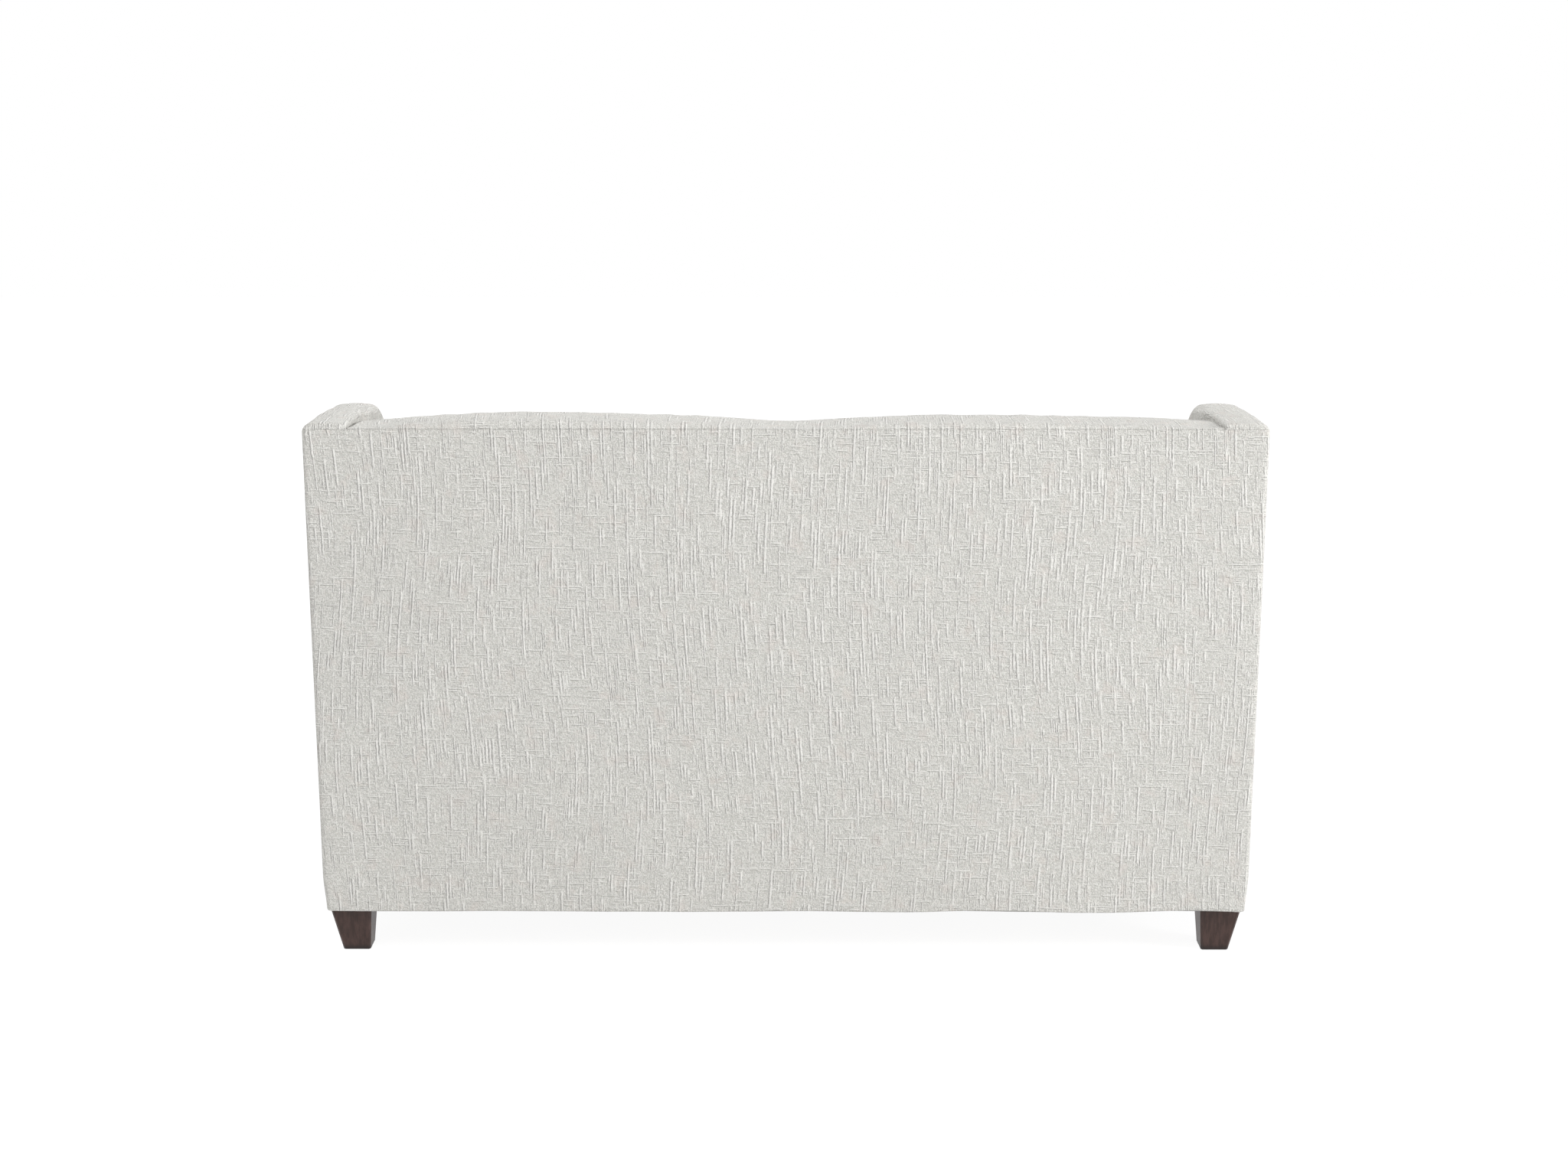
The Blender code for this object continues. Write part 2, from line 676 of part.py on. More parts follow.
def arms():
    pocket = side_plate([arm_frame_rim(FIT, OVERRUN)], FRAME_INNER_X - FIT, FRAME_OUTER_X + FIT)
    rail_front = FRONT_RAIL_FRONT_Y
    slots = [
        rail_slot(rail_front, rail_front + RAIL_DEPTH),
        rail_slot(REAR_RAIL_Y - RAIL_DEPTH, REAR_RAIL_Y),
    ]
    cover = cut(arm_cover_solid(), [pocket, *slots])
    frame = side_plate([arm_frame_rim(), *arm_windows()], FRAME_INNER_X, FRAME_OUTER_X)
    finish_piece(mirrored(cover), "left_arm_cover", FABRIC)
    finish_piece(mirrored(frame), "left_arm_frame", PLYWOOD)
    finish_piece(cover, "right_arm_cover", FABRIC)
    finish_piece(frame, "right_arm_frame", PLYWOOD)


def rails():
    reach = FRAME_INNER_X - FIT
    front = FRONT_RAIL_FRONT_Y
    rear = REAR_RAIL_Y
    half_centre = CENTRE_RAIL_WIDTH / 2
    front_rail = box((-reach, front, LEG_HEIGHT), (reach, front + RAIL_DEPTH, BASE_TOP))
    rear_rail = box((-reach, rear - RAIL_DEPTH, LEG_HEIGHT), (reach, rear, BASE_TOP))
    centre_low = (-half_centre, front + RAIL_DEPTH + FIT, LEG_HEIGHT)
    centre_rail = box(centre_low, (half_centre, rear - RAIL_DEPTH - FIT, BASE_TOP))
    finish_piece(front_rail, "front_rail", PLYWOOD)
    finish_piece(rear_rail, "rear_rail", PLYWOOD)
    finish_piece(centre_rail, "centre_rail", PLYWOOD)


def window_grid(low, high, width, height, web, sill):
    """As many windows as fit between two corners of a panel, over its sill."""
    windows = []
    pitch = width + web
    columns = int((high[0] - low[0] - web) / pitch)
    rows = int((high[1] - low[1] - sill) / (height + web))
    middle_x = (low[0] + high[0]) / 2
    first = middle_x - (columns * pitch - web) / 2
    for column in range(columns):
        for row in range(rows):
            foot = low[1] + sill + row * (height + web)
            windows.append(rectangle(first + column * pitch, foot, width, height))
    return windows


def shell_back():
    half = ARM_INNER_X - FIT
    rim = rectangle(-half, LEG_HEIGHT, 2 * half, SHELL_TOP - LEG_HEIGHT)
    windows = window_grid(
        (-half, LEG_HEIGHT),
        (half, SHELL_TOP),
        SHELL_WINDOW_WIDTH,
        SHELL_WINDOW_HEIGHT,
        SHELL_WEB,
        SHELL_WINDOW_SILL,
    )
    shell = front_plate([rim, *windows], SHELL_PLY_FRONT_Y, SHELL_PLY_REAR_Y)
    finish_piece(shell, "shell_back_frame", PLYWOOD)
    low = (-HALF_WIDTH, SHELL_INNER_Y, LEG_HEIGHT)
    pad = box(low, (HALF_WIDTH, BACK_Y, SEAM_HEIGHT))
    edge = pad.modifiers.new("edge", "BEVEL")
    edge.width = BACK_PAD_EDGE
    edge.segments = 2
    finish_piece(pad, "outside_back", FABRIC)


def crown_pad():
    """The padded top of the back: one piece with two shallow humps and a dip between."""
    seam = SEAM_HEIGHT + FIT
    inner = SHELL_INNER_Y - FIT
    front = SHELL_INNER_Y - CROWN_FRONT_REACH
    low = SHELL_TOP + FIT
    rise = CROWN_EDGE_HEIGHT
    back = BACK_Y - BACK_PAD_EDGE / 2
    profile = [(front, low), (inner, low), (inner, seam), (back, seam)]
    profile += [(back, seam + rise / 2), (back - rise, seam + rise)]
    profile += [(front + rise, seam), (front, seam - rise)]
    half = WING_INNER_X - FIT
    pad = side_plate([profile], -half, half)
    bm = bmesh.new()
    bm.from_mesh(pad.data)
    bmesh.ops.dissolve_limit(bm, angle_limit=math.radians(1), verts=bm.verts, edges=bm.edges)
    for station in range(1, CROWN_STATIONS):
        place = -half + 2 * half * station / CROWN_STATIONS
        everything = bm.verts[:] + bm.edges[:] + bm.faces[:]
        bmesh.ops.bisect_plane(bm, geom=everything, plane_co=(place, 0, 0), plane_no=(1, 0, 0))
    for vertex in bm.verts:
        if vertex.co.z > seam - rise - FIT and vertex.co.y < back - rise / 2:
            from_hump = abs(abs(vertex.co.x) - half / 2) / (half / 2)
            vertex.co.z += CROWN_HUMP * (1 - from_hump ** CROWN_HUMP_POWER)
    bm.to_mesh(pad.data)
    bm.free()
    finish_piece(pad, "crown_pad", FABRIC)


# Reclining mechanism

class Seat:
    """One seat's side of the loveseat and the places across it."""

    def __init__(self, side):
        self.side = side
        self.name = "right" if side > 0 else "left"
        self.middle = side * SEAT_CENTRE_X

    def x(self, face, outward):
        """World x at a distance outwards from the seat's middle, on its outer or inner face."""
        return self.middle + self.side * face * outward

    def span(self, half_width):
        return self.middle - half_width, self.middle + half_width


FACES = ((1, "outer"), (-1, "inner"))


def lane(number):
    """Middle of a lane: 0 is the fixed plate, and each next lane lies further in."""
    return FIXED_LANE_OFFSET - LANE_PITCH * number


FIXED, SWINGING, CARRIAGE, FRONT_LINK, SCISSOR, INNERMOST = range(6)


def lane_bar(seat, face, number, path, half_width, holes):
    """A strap in one lane along a path of (y, z), with its holes."""
    near = lane(number) - STRAP / 2
    splines = [bar_rim(path, half_width), *holes]
    return side_plate(splines, seat.x(face, near), seat.x(face, near + STRAP))


def lane_plate(seat, face, number, rim, holes):
    near = lane(number) - STRAP / 2
    return side_plate([rim, *holes], seat.x(face, near), seat.x(face, near + STRAP))


def lane_pin(seat, face, carrying, reached, centre):
    """A pin fused to the strap that carries it, headed beyond the strap that turns on it."""
    inwards = -1 if reached > carrying else 1
    start = lane(carrying)
    far_face = lane(reached) + inwards * (STRAP / 2 + FIT)
    shaft = rod(seat.x(face, start), seat.x(face, far_face + inwards * PIN_HEAD / 2), centre, PIN_RADIUS)
    head_ends = (seat.x(face, far_face), seat.x(face, far_face + inwards * PIN_HEAD))
    head = rod(*head_ends, centre, PIN_HEAD_RADIUS)
    return [shaft, head]


def swing_base(base_y):
    return (base_y, SWING_BASE_HEIGHT)


def swing_top(base_y):
    return (base_y + SWING_REACH, SWING_TOP_HEIGHT)


def rest_point(point):
    """A leg-rest pivot in world (y, z)."""
    return (BOARD_REAR_Y + point[0], DECK_UNDERSIDE - point[1])


def between(start, end):
    return ((start[0] + end[0]) / 2, (start[1] + end[1]) / 2)


def fixed_plates(seat):
    """Steel angles on the base rails that carry the swing links and the back's drive links."""
    low = BASE_TOP + FIT
    rear = REAR_RAIL_Y - FIT
    rim = rectangle(PLATE_FRONT_Y, low, rear - PLATE_FRONT_Y, PLATE_TOP - low)
    for face, face_name in FACES:
        plate = lane_plate(seat, face, FIXED, rim, [])
        outer = lane(FIXED)
        corners = sorted((seat.x(face, outer), seat.x(face, outer + FLANGE_WIDTH)))
        flange = box((corners[0], PLATE_FRONT_Y, low), (corners[1], rear, low + FLANGE_THICKNESS))
        pins = []
        for centre in (swing_base(SWING_FRONT_BASE_Y), swing_base(SWING_REAR_BASE_Y), BACK_DRIVE_BASE):
            pins += lane_pin(seat, face, FIXED, SWINGING, centre)
        plate = combine(plate, [flange, *pins])
        finish_piece(plate, seat.name + "_fixed_plate_" + face_name, STEEL)


def tied_links(seat, path, holes):
    """A pair of straps in the swinging lane, tied by a cross tube half way up."""
    pair = [lane_bar(seat, face, SWINGING, path, STRAP_HALF_WIDTH, holes) for face, _ in FACES]
    reach = lane(SWINGING)
    tube = rod(seat.x(-1, reach), seat.x(1, reach), between(path[0], path[-1]), CROSS_TUBE_RADIUS)
    return combine(pair[0], [tube, pair[1]])


def swing_links(seat, front_joint, rear_joint):
    for base_y, joint, name in (
        (SWING_FRONT_BASE_Y, front_joint, "front"),
        (SWING_REAR_BASE_Y, rear_joint, "rear"),
    ):
        path = (swing_base(base_y), swing_top(base_y))
        holes = [running_hole(point) for point in path]
        links = tied_links(seat, path, holes)
        finish_piece(links, seat.name + "_swing_" + name, STEEL, joint)


def carriage_rim():
    """The carriage plate: a long bar under the deck with a nose in front and an upright behind."""
    top = DECK_UNDERSIDE + CARRIAGE_ROOT_RISE
    bottom = DECK_UNDERSIDE - CARRIAGE_DEPTH
    front = rest_point(REST_FRONT_PIVOT)[0] - CARRIAGE_FRONT_NOSE
    upright_front = CARRIAGE_REAR_Y - CARRIAGE_UPRIGHT_WIDTH
    crest = DECK_UNDERSIDE + CARRIAGE_UPRIGHT_RISE
    shoulder = CARRIAGE_UPRIGHT_WIDTH / 4
    return [
        (front, bottom + CARRIAGE_FRONT_NOSE),
        (front + CARRIAGE_FRONT_NOSE, bottom),
        (CARRIAGE_REAR_Y - shoulder, bottom),
        (CARRIAGE_REAR_Y, bottom + shoulder),
        (CARRIAGE_REAR_Y, crest - shoulder),
        (CARRIAGE_REAR_Y - shoulder, crest),
        (upright_front + shoulder, crest),
        (upright_front, crest - shoulder),
        (upright_front, top),
        (front, top),
    ]


def spring(seat, start_y, end_y, x):
    """A zigzag spring wire in the deck's middle plane."""
    points = []
    step = (end_y - start_y) / SPRING_HALF_WAVES
    for wave in range(SPRING_HALF_WAVES):
        swing = SPRING_HALF_WIDTH if wave % 2 else -SPRING_HALF_WIDTH
        for share in (SPRING_BEND_SHARE, 1 - SPRING_BEND_SHARE):
            points.append((x + swing, start_y + step * (wave + share)))
    points[0] = (x, start_y)
    points[-1] = (x, end_y)
    curve = bpy.data.curves.new("spring", "CURVE")
    curve.dimensions = "3D"
    curve.bevel_depth = SPRING_WIRE_RADIUS
    curve.bevel_resolution = SPRING_SIDES_LEVEL
    curve.use_fill_caps = True
    spline = curve.splines.new("POLY")
    spline.points.add(len(points[1:]))
    for slot, (across, along) in zip(spline.points, points):
        slot.co = (across, along, DECK_UNDERSIDE + DECK_THICKNESS / 2, 1)
    wire = bpy.data.objects.new("spring", curve)
    PARTS.objects.link(wire)
    return mesh_from_curve(wire)


def seat_frame(seat, carriage_joint):
    """Deck, springs and the two carriage plates with the pins they carry."""
    front = FRONT_Y + DECK_FRONT_INSET
    left, right = seat.span(DECK_HALF_WIDTH)
    rim = rectangle(left, front, right - left, DECK_REAR - front)
    opening_low = (left + DECK_MEMBER, front + DECK_MEMBER)
    opening_width = right - left - 2 * DECK_MEMBER
    opening_depth = DECK_REAR - front - 2 * DECK_MEMBER
    opening = rectangle(*opening_low, opening_width, opening_depth)
    deck = level_plate([rim, opening], DECK_UNDERSIDE, DECK_TOP)
    parts = []
    pitch = opening_width / (SPRING_COUNT + 1)
    seat_in = DECK_MEMBER / 2
    for number in range(SPRING_COUNT):
        x = opening_low[0] + pitch * (number + 1)
        ends = (opening_low[1] - seat_in, opening_low[1] + opening_depth + seat_in)
        parts.append(spring(seat, *ends, x))
    for face, _ in FACES:
        parts.append(lane_plate(seat, face, CARRIAGE, carriage_rim(), []))
        for base_y in (SWING_FRONT_BASE_Y, SWING_REAR_BASE_Y):
            parts += lane_pin(seat, face, CARRIAGE, SWINGING, swing_top(base_y))
        parts += lane_pin(seat, face, CARRIAGE, FIXED, BACK_PIVOT)
        parts += lane_pin(seat, face, CARRIAGE, FRONT_LINK, rest_point(REST_FRONT_PIVOT))
        parts += lane_pin(seat, face, CARRIAGE, INNERMOST, rest_point(REST_REAR_PIVOT))
    frame = combine(deck, parts)
    finish_piece(frame, seat.name + "_seat_frame", STEEL, carriage_joint)


def seat_cushion(seat, carriage_joint):
    left, right = seat.span(SEAT_HALF_WIDTH)
    low = (left, ARM_FRONT_Y, DECK_TOP + FIT)
    high = (right, DECK_REAR, SEAT_CUSHION_TOP + SEAT_CROWN)
    cushion = soft_block(low, high, SEAT_LOOP_SHARES, seat_cushion_shape)
    finish_piece(cushion, seat.name + "_seat_cushion", FABRIC, carriage_joint)


def back_drive(seat, drive_joint):
    path = (BACK_DRIVE_BASE, BACK_DRIVE_TOP)
    holes = [running_hole(BACK_DRIVE_BASE), running_hole(BACK_DRIVE_TOP, BACK_LOOP_PLAY)]
    links = tied_links(seat, path, holes)
    finish_piece(links, seat.name + "_back_drive_link", STEEL, drive_joint)


def reclining_back(seat, back_joint):
    bracket_y = BACK_PANEL_FRONT_Y + STRAP_HALF_WIDTH - FIT
    panel_half = lane(FIXED) - STRAP / 2 - FIT
    path = (BACK_DRIVE_TOP, BACK_PIVOT, (bracket_y, BRACKET_BEND), (bracket_y, BRACKET_TOP))
    for face, face_name in FACES:
        bracket = lane_bar(seat, face, FIXED, path, STRAP_HALF_WIDTH, [running_hole(BACK_PIVOT)])
        bracket = combine(bracket, lane_pin(seat, face, FIXED, SWINGING, BACK_DRIVE_TOP))
        finish_piece(bracket, seat.name + "_back_bracket_" + face_name, STEEL, back_joint)
    left, right = seat.span(panel_half)
    rim = rectangle(left, BACK_PANEL_BOTTOM, right - left, BACK_PANEL_TOP - BACK_PANEL_BOTTOM)
    windows = window_grid(
        (left, BACK_PANEL_BOTTOM),
        (right, BACK_PANEL_TOP),
        BACK_WINDOW_WIDTH,
        BACK_WINDOW_HEIGHT,
        BACK_WEB,
        BACK_WINDOW_SILL,
    )
    panel = front_plate([rim, *windows], BACK_PANEL_FRONT_Y, BACK_PANEL_REAR_Y)
    finish_piece(panel, seat.name + "_back_panel", PLYWOOD, back_joint)
    left, right = seat.span(SEAT_HALF_WIDTH)
    rear = BACK_PANEL_FRONT_Y - 2 * FIT
    low = (left, rear - BACK_CUSHION_BASE_DEPTH, BACK_CUSHION_BOTTOM)
    high = (right, rear, BACK_CUSHION_TOP)
    cushion = soft_block(low, high, BACK_LOOP_SHARES, back_cushion_shape)
    finish_piece(cushion, seat.name + "_back_cushion", FABRIC, back_joint)


# Leg rest

def leg_rest_links(seat, joints):
    rear_pivot = rest_point(REST_REAR_PIVOT)
    front_pivot = rest_point(REST_FRONT_PIVOT)
    crossing = rest_point(REST_CROSSING)
    rear_joint = rest_point(REST_REAR_JOINT)
    lower_joint = rest_point(REST_LOWER_JOINT)
    upper_bracket = rest_point(REST_UPPER_BRACKET)
    lower_bracket = rest_point(REST_LOWER_BRACKET)
    half = STRAP_HALF_WIDTH - FIT
    for face, face_name in FACES:
        front_path = (front_pivot, crossing, lower_joint)
        front = lane_bar(seat, face, FRONT_LINK, front_path, half, [running_hole(front_pivot)])
        front_pins = lane_pin(seat, face, FRONT_LINK, SCISSOR, crossing)
        front_pins += lane_pin(seat, face, FRONT_LINK, SCISSOR, lower_joint)
        front = combine(front, front_pins)
        finish_piece(front, seat.name + "_rest_front_link_" + face_name, STEEL, joints["front"])

        upper_path = (rear_joint, crossing, upper_bracket)
        upper = lane_bar(seat, face, SCISSOR, upper_path, half, [running_hole(crossing)])
        upper_pins = lane_pin(seat, face, SCISSOR, INNERMOST, rear_joint)
        upper_pins += lane_pin(seat, face, SCISSOR, INNERMOST, upper_bracket)
        upper = combine(upper, upper_pins)
        finish_piece(upper, seat.name + "_rest_upper_link_" + face_name, STEEL, joints["upper"])

        lower_path = (lower_joint, lower_bracket)
        lower = lane_bar(seat, face, SCISSOR, lower_path, half, [running_hole(lower_joint)])
        lower = combine(lower, lane_pin(seat, face, SCISSOR, INNERMOST, lower_bracket))
        finish_piece(lower, seat.name + "_rest_lower_link_" + face_name, STEEL, joints["lower"])

        rear_holes = [running_hole(rear_pivot), running_hole(rear_joint, REAR_LOOP_PLAY)]
        rear = lane_bar(seat, face, INNERMOST, (rear_pivot, rear_joint), half, rear_holes)
        finish_piece(rear, seat.name + "_rest_rear_link_" + face_name, STEEL, joints["rear"])


def leg_rest_frame(seat, rest_joint):
    """Two bracket plates with flanges on the board, tied by a cross tube."""
    upper = rest_point(REST_UPPER_BRACKET)
    lower = rest_point(REST_LOWER_BRACKET)
    face_y = BOARD_REAR_Y + FIT
    plate_y = face_y + FLANGE_THICKNESS / 2
    reach = REST_BRACKET_REACH
    rim = [
        (plate_y, lower[1] - reach),
        (lower[0] + reach / 2, lower[1] - reach),
        (lower[0] + reach, lower[1] - reach / 2),
        (upper[0] + reach, upper[1] + reach / 2),
        (upper[0] + reach / 2, upper[1] + reach),
        (plate_y, upper[1] + reach),
    ]
    holes = [running_hole(upper), running_hole(lower, REST_LOOP_PLAY)]
    plates = []
    flanges = []
    for face, _ in FACES:
        plates.append(lane_plate(seat, face, INNERMOST, rim, holes))
        ends = sorted((seat.x(face, lane(INNERMOST)), seat.x(face, lane(INNERMOST) - REST_FLANGE_WIDTH)))
        low = (ends[0], face_y, lower[1] - reach - FLANGE_THICKNESS)
        high = (ends[1], face_y + FLANGE_THICKNESS, upper[1] + reach + FLANGE_THICKNESS / 2)
        flanges.append(box(low, high))
    reach_x = lane(INNERMOST)
    tube = rod(seat.x(-1, reach_x), seat.x(1, reach_x), between(upper, lower), CROSS_TUBE_RADIUS)
    frame = combine(plates[0], [flanges[0], tube, flanges[1], plates[1]])
    finish_piece(frame, seat.name + "_rest_frame", STEEL, rest_joint)


def leg_rest_board(seat, rest_joint):
    left, right = seat.span(BOARD_HALF_WIDTH)
    front = BOARD_REAR_Y - BOARD
    board = box((left, front, BOARD_BOTTOM), (right, BOARD_REAR_Y, BOARD_TOP))
    finish_piece(board, seat.name + "_rest_board", PLYWOOD, rest_joint)
    left, right = seat.span(SEAT_HALF_WIDTH)
    low = (left, FRONT_Y, PAD_BOTTOM)
    pad = soft_block(low, (right, front - FIT, PAD_TOP), PAD_LOOP_SHARES, pad_shape)
    finish_piece(pad, seat.name + "_rest_pad", FABRIC, rest_joint)


def release_lever(seat, lever_joint):
    """A pull lever on the arm's inner side: a hub with a drooping finger paddle."""
    face_x = seat.side * (ARM_INNER_X - FIT)
    inner_x = face_x - seat.side * LEVER_THICKNESS
    hub = rod(face_x, inner_x, (LEVER_Y, LEVER_HEIGHT), LEVER_HUB_RADIUS)
    tip = (LEVER_Y - LEVER_REACH, LEVER_HEIGHT - LEVER_DROOP)
    paddle_face = face_x - seat.side * LEVER_THICKNESS / 4
    paddle = side_plate(
        [bar_rim(((LEVER_Y, LEVER_HEIGHT), tip), LEVER_HALF_WIDTH)],
        paddle_face,
        inner_x + seat.side * LEVER_THICKNESS / 4,
    )
    finish_piece(combine(hub, [paddle]), seat.name + "_release_lever", STEEL, lever_joint)


def seat_joints(seat):
    """Empties on every joint axis of one seat, hung on each other as the bodies are."""
    def at(point):
        return (seat.middle, *point)

    name = seat.name
    front_swing = joint_empty(name + "_front_swing_axis", at(swing_base(SWING_FRONT_BASE_Y)))
    carriage = joint_empty(name + "_carriage_axis", at(swing_top(SWING_FRONT_BASE_Y)), front_swing)
    front_link = joint_empty(name + "_rest_front_axis", at(rest_point(REST_FRONT_PIVOT)), carriage)
    upper_link = joint_empty(name + "_rest_upper_axis", at(rest_point(REST_CROSSING)), front_link)
    lever_place = (seat.side * ARM_INNER_X, LEVER_Y, LEVER_HEIGHT)
    return {
        "front_swing": front_swing,
        "rear_swing": joint_empty(name + "_rear_swing_axis", at(swing_base(SWING_REAR_BASE_Y))),
        "drive": joint_empty(name + "_back_drive_axis", at(BACK_DRIVE_BASE)),
        "carriage": carriage,
        "back": joint_empty(name + "_back_axis", at(BACK_PIVOT), carriage),
        "front": front_link,
        "rear": joint_empty(name + "_rest_rear_axis", at(rest_point(REST_REAR_PIVOT)), carriage),
        "upper": upper_link,
        "lower": joint_empty(name + "_rest_lower_axis", at(rest_point(REST_LOWER_JOINT)), front_link),
        "rest": joint_empty(name + "_rest_axis", at(rest_point(REST_UPPER_BRACKET)), upper_link),
        "lever": joint_empty(name + "_lever_axis", lever_place),
    }


def build_seat(side):
    seat = Seat(side)
    joints = seat_joints(seat)
    fixed_plates(seat)
    swing_links(seat, joints["front_swing"], joints["rear_swing"])
    seat_frame(seat, joints["carriage"])
    seat_cushion(seat, joints["carriage"])
    back_drive(seat, joints["drive"])
    reclining_back(seat, joints["back"])
    leg_rest_links(seat, joints)
    leg_rest_frame(seat, joints["rest"])
    leg_rest_board(seat, joints["rest"])
    release_lever(seat, joints["lever"])


clear_scene()
PARTS = new_collection("reclining_loveseat")
legs()
arms()
rails()
shell_back()
crown_pad()
for seat_side in (-1, 1):
    build_seat(seat_side)
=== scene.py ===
"""The look of a reclining loveseat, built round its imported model."""

import math

import bmesh
import bpy
import numpy as np
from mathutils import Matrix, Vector
from mathutils.bvhtree import BVHTree


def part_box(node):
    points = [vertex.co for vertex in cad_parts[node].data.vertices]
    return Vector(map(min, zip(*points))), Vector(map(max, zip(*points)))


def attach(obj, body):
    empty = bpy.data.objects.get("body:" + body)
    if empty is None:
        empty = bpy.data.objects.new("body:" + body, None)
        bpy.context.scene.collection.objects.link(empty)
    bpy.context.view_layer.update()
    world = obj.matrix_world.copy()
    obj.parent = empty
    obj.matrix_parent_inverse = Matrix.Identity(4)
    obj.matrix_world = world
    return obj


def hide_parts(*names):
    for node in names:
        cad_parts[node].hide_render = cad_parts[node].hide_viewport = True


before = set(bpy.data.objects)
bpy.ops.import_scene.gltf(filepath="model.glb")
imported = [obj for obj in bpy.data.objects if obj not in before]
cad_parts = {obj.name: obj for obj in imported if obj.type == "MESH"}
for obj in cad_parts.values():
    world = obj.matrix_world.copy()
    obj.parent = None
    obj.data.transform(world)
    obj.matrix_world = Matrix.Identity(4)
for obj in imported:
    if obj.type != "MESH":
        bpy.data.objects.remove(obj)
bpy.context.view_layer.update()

# Camera

CAMERA_PLACE = (-0.006, 4.351, 1.523)
CAMERA_PITCH = 12.48
CAMERA_YAW = 0.13
CAMERA_LENS = 53.05
CAMERA_FARTHEST = 100

# Light: each lamp's name, place, target, side and power

LAMPS = (
    ("key", (-6.0, 2.3, 2.3), (0.0, 0.45, 0.50), 1.4, 250),
    ("high", (0.3, 3.05, 4.75), (0.0, 0.45, 0.6), 2.6, 116),
    ("front", (2.6, -6.0, 3.2), (0.0, 0.0, 0.5), 2.4, 230),
)
WORLD_LEVEL = 0.50
FLOOR_REACH = 12.0
FLOOR_WHITE = (0.93, 0.93, 0.93)
FLOOR_GLOW = 1.09
FLOOR_GLOW_SHARE = 0.86

# Weave: each yarn's pitch, the length of its thick places, and the noise where they start and are full

WARP_SLUB = (0.0056, 0.080, 0.565, 0.68)
WARP_CORD = (0.0036, 0.050, 0.56, 0.70)
WARP_FINE = (0.0026, 0.0050, 0.34, 0.66)
WEFT_SLUB = (0.0040, 0.050, 0.61, 0.74)
WEFT_CORD = (0.0030, 0.036, 0.59, 0.74)
WEFT_FINE = (0.0026, 0.0045, 0.40, 0.70)

# Weave: how far the yarns stray from straight, how high they stand, and how much each lightens the cloth

SWEEP_STRAY = 0.055
WANDER_STRAY = 0.0014
BEAD_STRAY = 0.0018
WEFT_STRAY = 0.0022
WARP_HEIGHT = 0.0031
WEFT_HEIGHT = 0.0019
FINE_HEIGHT = 0.0006
NUB_HEIGHT = 0.00035
WARP_CORD_SHARE = 0.68
WEFT_CORD_SHARE = 0.75
WEFT_SHARE = 0.75
SLUB_LIGHT = 0.80
FINE_LIGHT = 0.68
NUB_LIGHT = 2.9
PATCH_LIGHT = 0.16
LEAST_LIGHT = -1.50
CLOTH_GROUND = (0.495, 0.487, 0.458)
CLOTH_YARN = (0.80, 0.79, 0.755)
CLOTH_BLUSH = (0.63, 0.575, 0.535)
PANEL_SHIFT = 3.3
ALONG_SHARE = 0.7

# Outside back

BACK_EDGE = 0.008
BACK_ROLL = 0.0005
BACK_COLUMNS = 181
BACK_ROWS = 100
HIDDEN_COLUMNS = 12
HEM_ROLL = 0.004
HEM_WAVE = 0.0022
HEM_TUCK = 0.0045
HIDDEN_WAVE_SHARE = 0.35
SEAM_HEIGHT = 0.941
SEAM_ZONE = 0.008
SEAM_ROWS = 8
SEAM_PUCKER = 0.0006
CLOTH_SWELL = 0.0012
SIDE_PROUD = 0.002
TOP_PROUD = 0.0018
TOUCH_GAP = 0.0003

# Arms and wings

WING_HEIGHT = 0.9508
WING_OUTER_EDGE = 0.026
WING_INNER_EDGE = 0.005
WING_REAR_ROLL = 0.0085
WING_TAPER = 0.027
TAPER_FOOT = 0.62
TAPER_RISE = 0.28
TAPER_FRONT_SHARE = 0.55
REAR_CORNER = 0.016
ARM_HEIGHT = 0.612
ARM_INNER = 0.7155
ARM_EDGE = 0.019
ARM_FRONT_EDGE = 0.018
ARM_FRONT_BULGE = 0.0025
ARM_NOSE = 0.04
ARM_SIDE_COUNT = 64
SWEEP_INNER_EDGE = 0.016
SWEEP_REAR_Y = 0.25
SWEEP_DEPTH = 0.40
ARM_STOPS_Y = (-0.18, 0.28)
ARM_STOP_COUNTS = (6, 18, 66, 18)

# Crown: its end and rolls, and the height of its top at places along the back

CROWN_END = 0.012
CROWN_FRONT_ROLL = 0.018
CROWN_REAR_REACH = 0.010
CROWN_REAR_DROP = 0.0035
CROWN_LEAST_ROLL = 0.0015
CROWN_CHAMFER = 0.0004
CROWN_TOP_FALL = 0.004
CROWN_INNER_Y = 0.4446
CROWN_STATIONS = 169
CROWN_EASE = 31
CROWN_PLACES = (-0.742, -0.69, -0.62, -0.52, -0.39, -0.26, -0.13,
                0.0, 0.13, 0.27, 0.40, 0.53, 0.64, 0.742)
CROWN_HEIGHTS = (0.944, 0.947, 0.951, 0.9525, 0.955, 0.9555, 0.951,
                 0.943, 0.953, 0.957, 0.9605, 0.959, 0.952, 0.943)

# Cushions, and the room each has past its solid's box at the low and the high side

SEAT_VOXEL = 0.008
VOXEL = 0.006
CUSHION_SHRINK = 0.004
REST_SHRINK = 0.002
CUSHION_CAP = 0.018
REST_CAP = 0.008
CUSHION_ROOMS = {
    "seat_cushion": ((0.001, 0.004, 0.0), (0.001, 0.0, 0.006)),
    "back_cushion": ((0.001, 0.010, 0.0), (0.001, 0.0, 0.008)),
    "rest_pad": ((0.001, 0.004, 0.002), (0.001, 0.0, 0.002)),
}
WELD_DISTANCE = 0.00002
CLOTH_FRAMES = 20
CLOTH_PRESSURE = 4.0
CLOTH_QUALITY = 4
CLOTH_STRETCH_STIFFNESS = 12
CLOTH_BEND_STIFFNESS = 1.5

